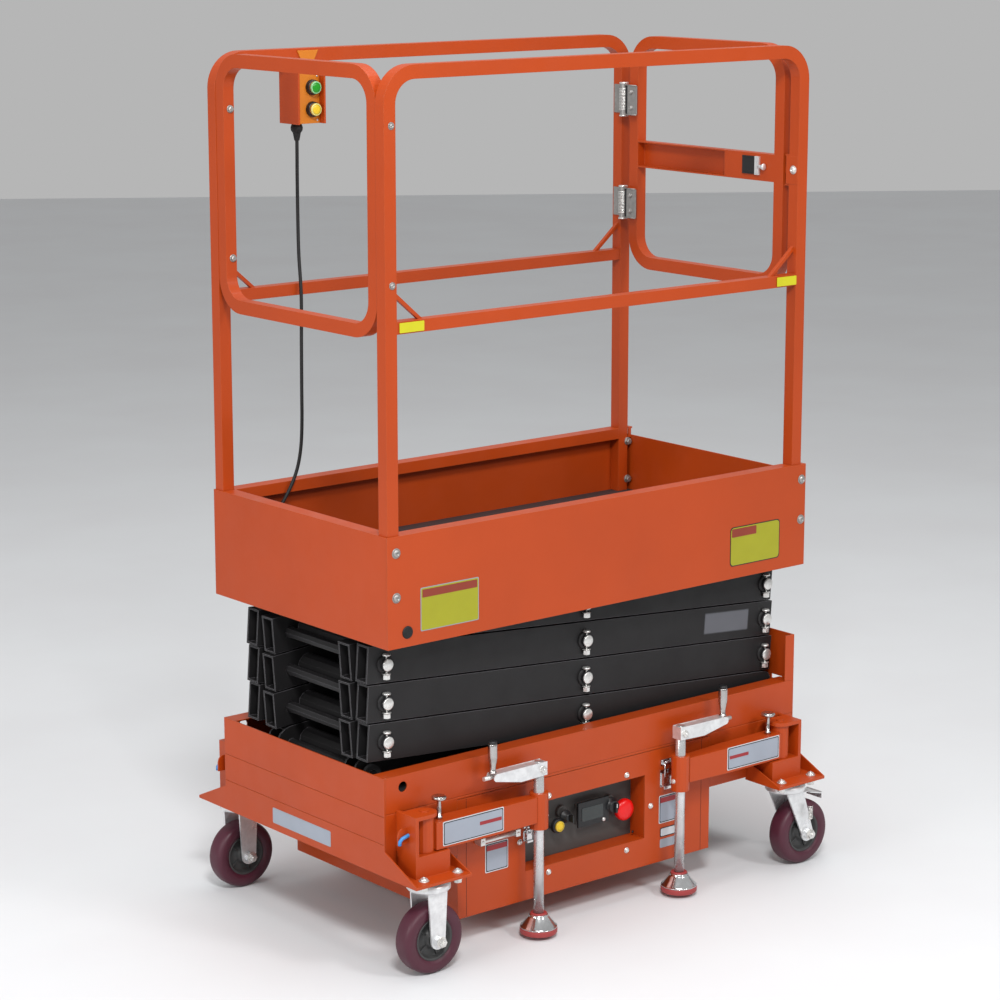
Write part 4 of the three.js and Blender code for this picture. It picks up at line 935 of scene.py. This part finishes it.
def housing_fittings():
    """Screws, door pull, draw latches, blank plates, painted shade along the door seams and the
    skirt's plate.
    """
    screws = Build()
    for x, z in HOUSING_SCREWS:
        dome_bolt(screws, (x, house_face, z), NEAR, 10.5, 4, 13)
    screws.piece("housing_screws", BOLT, "chassis")

    handle = Build()
    y, z = house_face - PULL_OUT, PULL_Z
    handle.tube([(x, y, z) for x in PULL_ENDS_X], PULL_RADIUS, 20)
    for x in PULL_ENDS_X:
        handle.box((x - 0.0062, y - 0.0052, z - 0.008), (x + 0.0062, house_face, z + 0.008), 0.0014)
        pan_screw(handle, (x, y - 0.0052, z), NEAR, 6, 1.6)
    handle.piece("door_pull", BOLT, "chassis")

    latches = Build()
    draw_latch(latches, 0.17, 0.24, house_face, NEAR, 38, 62)
    draw_latch(latches, -0.229, 0.201, house_face, NEAR, 20, 36)
    latches.piece("draw_latches", CHROME, "chassis")

    framed = [PALE_LABEL, BLACK_LABEL, BLUE_GREY_LABEL]
    band = [(MAROON_LABEL, (0.06, 0.74, 0.94, 0.92))]
    for name, x, z, width, height, layers, bars in (
        ("left", -0.3415, 0.1525, 62, 64, framed, band),
        ("right", 0.15, 0.1555, 62, 64, framed, band),
        ("small_1", 0.154, 0.124, 46, 21, [BLACK_LABEL, PALE_LABEL], ()),
        ("small_2", 0.154, 0.099, 46, 20, [GREY_LABEL], ()),
    ):
        blank_plate(f"door_plate_{name}", "chassis", (x, house_face, z), NEAR, width, height,
                    layers, bars)

    # Painted shade: thin dark strips on the front and back faces at the door seams, standing in for
    # the shade in their gaps.
    seams = Build()
    for x in SEAMS_X:
        for lowest, highest in ((house_face - SEAM_PROUD, house_face + SEAM_DEPTH),
                                (house_back - SEAM_DEPTH, house_back + SEAM_PROUD)):
            seams.box((x - SEAM_HALF, lowest, SEAM_BOTTOM), (x + SEAM_HALF, highest, SEAM_TOP))
    seams.piece("door_seams", SEAM_SHADE, "chassis")

    blank_plate("skirt_plate", "chassis", (low("chassis_end_rear").x, 0.107, 0.2188), LEFT, 208, 34,
                [GREY_LABEL, BLUE_GREY_LABEL])


DISPLAY_PROUD, BUTTON_PROUD = 0.0045, 0.0085
PANEL_SCREWS = [(-0.2245, 0.266), (0.0995, 0.266), (-0.2245, 0.141), (0.0995, 0.141)]
PANEL_BUTTON_X, PANEL_BUTTON_Z = -0.1203, 0.203
KEY_SWITCH = [(0, 16), (7.8, 15.8), (9.2, 14.5), (9.8, 4), (14, 3.5), (14.5, 0)]
SELECTOR = [(0, 14), (12.5, 13.8), (13.8, 12.5), (14.5, 3), (18.5, 2.8), (19.2, 0)]
BUTTON_BASE = [(0, 8.5), (15, 8.5), (15.8, 7.5), (16.5, 0)]
# The mushroom's cap as (radius, depth below the front), and its neck as (radius, along).
MUSHROOM_CAP = [
    (0, 0), (8, 0.2), (16, 1.2), (21.5, 3.4), (24, 7), (24.5, 12), (23.5, 16.5), (20, 19), (14, 20),
]
MUSHROOM_NECK = [(13, 2), (13, 0), (0, 0)]
SMALL_KNOB = [(0, 3), (4, 2.8), (4.5, 1.8), (4.5, 0)]


def panel_controls():
    """Display, key switch, selector and button on the recessed panel, and the stop mushroom."""
    face = low("lower_control_panel").y - 0.0005
    panel = Build()
    panel.box((-0.062, face - DISPLAY_PROUD, 0.184), (0.026, face + 0.0005, 0.24), 0.0018)
    for x, z in PANEL_SCREWS:
        pan_screw(panel, (x, face, z), NEAR, 6, 1.8)
    panel.turned(KEY_SWITCH, (-0.0963, face, 0.2185), NEAR, 36)
    panel.box((-0.0983, face - 0.028, 0.2105), (-0.0943, face - 0.012, 0.2265), 0.0012)
    panel.turned(SELECTOR, (0.0347, face, 0.215), NEAR, 40)
    panel.box((0.0317, face - 0.021, 0.203), (0.0377, face - 0.012, 0.225), 0.0016)
    panel.turned(BUTTON_BASE, (PANEL_BUTTON_X, face, PANEL_BUTTON_Z), NEAR, 36)
    panel.piece("panel_controls", BLACK, "chassis")

    centre = middle("emergency_stop")
    back = high("emergency_stop").y
    reach = 1000 * (back - low("emergency_stop").y)
    profile = [(radius, reach - depth) for radius, depth in MUSHROOM_CAP] + MUSHROOM_NECK
    at = (centre.x, back, centre.z)
    stop = spun("stop_mushroom", STOP_RED, "chassis", profile, at, NEAR, 56)
    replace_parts(stop, "emergency_stop")

    screen = Build()
    corner = (-0.052, face - DISPLAY_PROUD, 0.197)
    screen.plate(rounded(0.06, 0.03, 0.002), 0.0008, corner, RIGHT, UP)
    screen.piece("panel_display", GLASS, "chassis")
    pointer = Build()
    pointer.box((0.0335, face - 0.0216, 0.215), (0.0359, face - 0.0205, 0.2235), 0.0004)
    pointer.turned(SMALL_KNOB, (0.01, face - DISPLAY_PROUD, 0.1905), NEAR, 20)
    pointer.piece("panel_pointer", BOLT, "chassis")

    at = (PANEL_BUTTON_X, face - BUTTON_PROUD, PANEL_BUTTON_Z)
    cap_button("panel_button", "chassis", at, NEAR, YELLOW, YELLOW_LABEL, 11.5)


def cap_button(name, body, at, facing, dome, rim, radius):
    """A push button: bright collar and a low coloured dome; radius in millimetres."""
    r = radius
    inner = r * 0.8
    collar = [(inner, 5), (r * 0.92, 5.2), (r, 4.2), (r, 0), (0, 0)]
    spun(f"{name}_rim", rim, body, collar, at, facing, 40)
    cap = [(0, 5.8), (r * 0.45, 5.7), (r * 0.68, 5.1), (inner, 4.2), (inner, 1), (0, 1)]
    spun(f"{name}_dome", dome, body, cap, at, facing, 40)


housing_fittings()
panel_controls()


# ---- Platform control box
BUTTON_X, BUTTON_RADIUS = -0.3588, 13.1
LOWER_BUTTON_Z, UPPER_BUTTON_Z = 1.707, 1.753
PLATE_FACE = 0.2699
PLATE_SCREWS_X, PLATE_SCREWS_Z = (-0.396, -0.3455), (1.6835, 1.7765)
BUTTON_COLLAR = [(13.1, 10), (15, 9.6), (15.8, 8), (16.5, 0)]
GLAND_BULB = [(7.5, 0), (11.8, -4), (13.2, -9), (12.2, -15), (8.5, -20), (6.2, -24), (6, -26)]


def platform_controls():
    """Two collared buttons and four screws on the box's plate, and the bulb under its gland."""
    tip = low("control_plate").y
    collars = Build()
    for z in (LOWER_BUTTON_Z, UPPER_BUTTON_Z):
        collars.turned(BUTTON_COLLAR, (BUTTON_X, PLATE_FACE, z), NEAR, 36)
    collars.piece("button_collars", BLACK, "platform")
    for name, z, dome, rim in (
        ("button_lower", LOWER_BUTTON_Z, YELLOW, PALE_YELLOW),
        ("button_upper", UPPER_BUTTON_Z, GREEN, PALE_GREEN),
    ):
        cap_button(name, "platform", (BUTTON_X, tip, z), NEAR, dome, rim, BUTTON_RADIUS)
    screws = Build()
    for z in PLATE_SCREWS_Z:
        for x in PLATE_SCREWS_X:
            pan_screw(screws, (x, PLATE_FACE, z), NEAR, 5, 1.6)
    screws.piece("control_plate_screws", BOLT, "platform")
    gland = middle("cable_gland")
    at = (gland.x, gland.y, high("cable_gland").z)
    spun("gland_bulb", RUBBER, "platform", GLAND_BULB, at, UP, 40)


platform_controls()


# ---- Gate
GATE_AXIS = (0.5147, 0.256)
GATE_LEAF_X, LEAF_INNER_Y, LEAF_OUTER_Y = 0.5107, 0.2055, 0.237
HINGES = ("gate_hinge_lower", "gate_hinge_upper")
SPRING_TURNS, SPRING_STEPS, SPRING_RADIUS, SPRING_WIRE, SPRING_END = 15, 14, 0.01, 0.00135, 0.01
SPRING_CAP = [(0, 3.5), (9.2, 3.5), (10.4, 2.5), (10.4, 0), (0, 0)]
GATE_BAR_X, LATCH_Z, LATCH_AXIS_OUT = 0.5247, 1.566, 0.0075
LATCH_KNOB = [(0, 5), (5.5, 4.6), (7, 3), (7, 0), (0, 0)]


def spring_hinge(node):
    """The closely wound spring round a hinge's barrel, and its two end caps."""
    z0 = low(node).z
    z1 = high(node).z
    x, y = GATE_AXIS
    steps = SPRING_TURNS * SPRING_STEPS
    start = z0 + SPRING_END
    rise_each = (z1 - z0 - 2 * SPRING_END) / steps
    points = []
    for i in range(steps + 1):
        angle = 2 * math.pi * i / SPRING_STEPS
        across, along = SPRING_RADIUS * math.cos(angle), SPRING_RADIUS * math.sin(angle)
        points.append((x + across, y + along, start + rise_each * i))
    coil = Build()
    coil.tube(points, SPRING_WIRE, 6)
    for z in (z0 - 0.0035, z1):
        coil.turned(SPRING_CAP, (x, y, z), UP, 28)
    coil.piece(f"{node}_spring", BOLT, "platform")


for hinge in HINGES:
    spring_hinge(hinge)


def gate_fittings():
    """The hinges' leaf plates with a black strip of painted shade in each gap, the gate's latch
    pocket and bolt, and the keeper on the post.
    """
    x = GATE_LEAF_X
    leaf = Build()
    for node in HINGES:
        z0 = low(node).z + 0.003
        z1 = high(node).z - 0.003
        leaf.box((x - 0.0022, LEAF_INNER_Y, z0), (x, LEAF_OUTER_Y, z1), 0.0006)
        for z in (z0 + 0.0145, z1 - 0.0145):
            dome_bolt(leaf, (x - 0.0022, 0.224, z), LEFT, 10, 4, 12)
        for z in (z0 - 0.001, z1 + 0.001):
            leaf.tube([(x - 0.0034, LEAF_INNER_Y, z), (x - 0.0034, 0.244, z)], 0.0013, 8)
    leaf.piece("gate_leaf_plates", WORN_ZINC, "gate")
    # Painted shade: a black strip in the gap between each leaf and its spring, where shade falls.
    gap_shade = Build()
    for node in HINGES:
        z0 = low(node).z + 0.002
        z1 = high(node).z - 0.002
        gap_shade.box((x - 0.0012, LEAF_OUTER_Y, z0), (x + 0.004, 0.2435, z1), 0.0004)
    gap_shade.piece("gate_leaf_backs", BLACK, "gate")

    x, z = GATE_BAR_X, LATCH_Z
    pocket = Build()
    pocket.box((x - 0.003, -0.17, 1.547), (x, -0.129, 1.587), 0.001)
    for lowest, highest in ((1.548, 1.55), (1.584, 1.586)):
        pocket.box((x - 0.0042, -0.169, lowest), (x - 0.0028, -0.13, highest))
    pocket.piece("gate_latch_pocket", BLACK, "gate")
    bolt = Build()
    bolt.box((x - 0.0055, -0.1835, 1.5465), (x, -0.17, 1.5875), 0.001)
    out = x - LATCH_AXIS_OUT
    bolt.tube([(out, -0.1835, z), (out, -0.201, z)], 0.0034, 16)
    bolt.turned(LATCH_KNOB, (out, -0.199, z), NEAR, 28)
    bolt.box((x - 0.011, -0.198, 1.562), (x, -0.194, 1.57), 0.0008)
    bolt.piece("gate_latch_bolt", ZINC, "gate")

    keeper = Build()
    post_x = low("gate_keeper").x - 0.002
    keeper.box((post_x - 0.0005, -0.2995, 1.534), (post_x + 0.0018, -0.2645, 1.595), 0.0005)
    keeper.piece("keeper_plate", ORANGE, "platform")
    head = Build()
    dome_bolt(head, (post_x - 0.0005, -0.287, 1.5655), LEFT, 15, 5, 19)
    head.piece("keeper_bolt", BOLT, "platform")


gate_fittings()


# ---- Brake pedals and release levers
PEDAL_HALF_WIDTH, PEDAL_TILT = 0.024, math.radians(14)
PEDAL_SPRING_POINTS, PEDAL_SPRING_RADIUS, PEDAL_SPRING_STEP = 90, 0.0046, 0.00035
LEVER_Y, LEVER_EAR_X, LEVER_EAR_Z = 0.3215, -0.5985, 0.279
LEVER_EAR = [(0, 0), (0.03, 0), (0.03, 0.034), (0.01, 0.034), (0.003, 0.029), (0, 0.02)]
LEVER_XZ = [(-0.5965, 0.28), (-0.596, 0.288), (-0.59, 0.2935), (-0.57, 0.2985), (-0.556, 0.302)]


def brake_pedal(side):
    """The swivel caster's brake: a pressed pedal past the plate, and its spring."""
    body = f"caster_{side}"
    x, y = JOINTS[f"caster_swivel_{side}"]["pos_m"][:2]
    half = PEDAL_HALF_WIDTH
    pedal = Build()
    pedal.box((x + 0.03, y - 0.02, 0.1665), (x + 0.062, y + 0.02, 0.169), 0.0008)
    tilt = Matrix.Rotation(PEDAL_TILT, 4, "Y")
    pedal.box((x + 0.056, y - half, 0.16), (x + 0.096, y + half, 0.1626), 0.0009, tilt)
    pedal.box((x + 0.093, y - half, 0.144), (x + 0.0956, y + half, 0.16), 0.0009)
    pedal.piece(f"{body}_pedal", ZINC, body)
    cheek = low(f"swivel_fork_{side}").y - 0.006
    points = []
    for i in range(PEDAL_SPRING_POINTS):
        angle = 2 * math.pi * i / 10
        across = PEDAL_SPRING_RADIUS * math.cos(angle)
        along = PEDAL_SPRING_RADIUS * math.sin(angle)
        points.append((x + 0.036 + across, cheek + along, 0.112 + PEDAL_SPRING_STEP * i))
    spring = Build()
    spring.tube(points, 0.001, 6)
    spring.piece(f"{body}_spring", BOLT, body)


def release_lever(side, sign):
    """A bent blue lever beside an orange ear, at the chassis's rear corner."""
    y = sign * LEVER_Y
    ear = Build()
    ear.plate(LEVER_EAR, 0.003, (LEVER_EAR_X, y + 0.0015, LEVER_EAR_Z), RIGHT, UP)
    ear.piece(f"lever_ear_{side}", ORANGE, "chassis")
    lever = Build()
    lever.tube([(x, y + sign * 0.005, z) for x, z in LEVER_XZ], 0.0038, 14)
    lever.piece(f"release_lever_{side}", BLUE, "chassis")


brake_pedal("near")
brake_pedal("far")
release_lever("near", -1)
release_lever("far", 1)

# ---- Floor, background and light
def floor_material():
    """Smooth pale studio floor with very faint mottling."""
    s = Shader("studio_floor", "DEDFE1", 0.62)
    s.set("Base Color", s.ramp(s.noise(1.3, 4), [(0.35, srgb("DDDEE0")), (0.65, srgb("E0E2E4"))]))
    s.set("Specular IOR Level", 0.2)
    return s.material


FLOOR_CORNERS = [
    (-30, -30, 0), (40, -30, 0), (40, -12.2, 0), (12.02, 8.99, 0), (6.15, 13.05, 0), (-30, 38, 0),
]
# Each lamp's name, place, aim, size in metres and power in watts.
LAMPS = [
    ("key", (-2.6, -3.6, 4.6), (-0.4, -0.6, 0.4), (1.1, 0.9), 190),
    ("front", (1.2, -4.6, 3.8), (0, -0.5, 0.4), (1.0, 0.8), 78),
    ("top", (0.2, 0.2, 5.5), (0, 0, 0.5), (3.0, 3.0), 110),
    ("left", (-5.0, -0.4, 2.4), (0, 0, 0.8), (2.0, 1.6), 72),
]


def studio():
    """The floor ends behind the lift, where the wall starts; four lamps give soft shadows."""
    mesh = bpy.data.meshes.new("floor")
    mesh.from_pydata(FLOOR_CORNERS, [], [tuple(range(len(FLOOR_CORNERS)))])
    floor = placed("floor", mesh)
    floor.data.materials.append(floor_material())
    for name, place, aim, size, power in LAMPS:
        data = bpy.data.lights.new(name, "AREA")
        data.shape = "RECTANGLE"
        data.size, data.size_y = size
        data.energy = power
        light = placed(name, data)
        light.location = place
        light.rotation_euler = (Vector(aim) - Vector(place)).to_track_quat("-Z", "Y").to_euler()


studio()


def backdrop():
    """A pale wall seen by the camera and in reflections, a softer white for the light it sheds."""
    world = bpy.data.worlds.new("studio_world")
    bpy.context.scene.world = world
    world.use_nodes = True
    nodes, link = world.node_tree.nodes, world.node_tree.links.new
    light = nodes["Background"]
    light.inputs["Color"].default_value = srgb("B2B2B2")
    wall = nodes.new("ShaderNodeBackground")
    wall.inputs["Color"].default_value = srgb("B6B6B6")
    rays = nodes.new("ShaderNodeLightPath")
    share = rays.outputs["Is Camera Ray"]
    for kind in ("Is Glossy Ray", "Is Transmission Ray"):
        either = nodes.new("ShaderNodeMath")
        either.operation = "MAXIMUM"
        link(share, either.inputs[0])
        link(rays.outputs[kind], either.inputs[1])
        share = either.outputs["Value"]
    blend = nodes.new("ShaderNodeMixShader")
    link(share, blend.inputs[0])
    link(light.outputs["Background"], blend.inputs[1])
    link(wall.outputs["Background"], blend.inputs[2])
    link(blend.outputs["Shader"], nodes["World Output"].inputs["Surface"])


backdrop()

bpy.context.scene.view_settings.view_transform = "Standard"
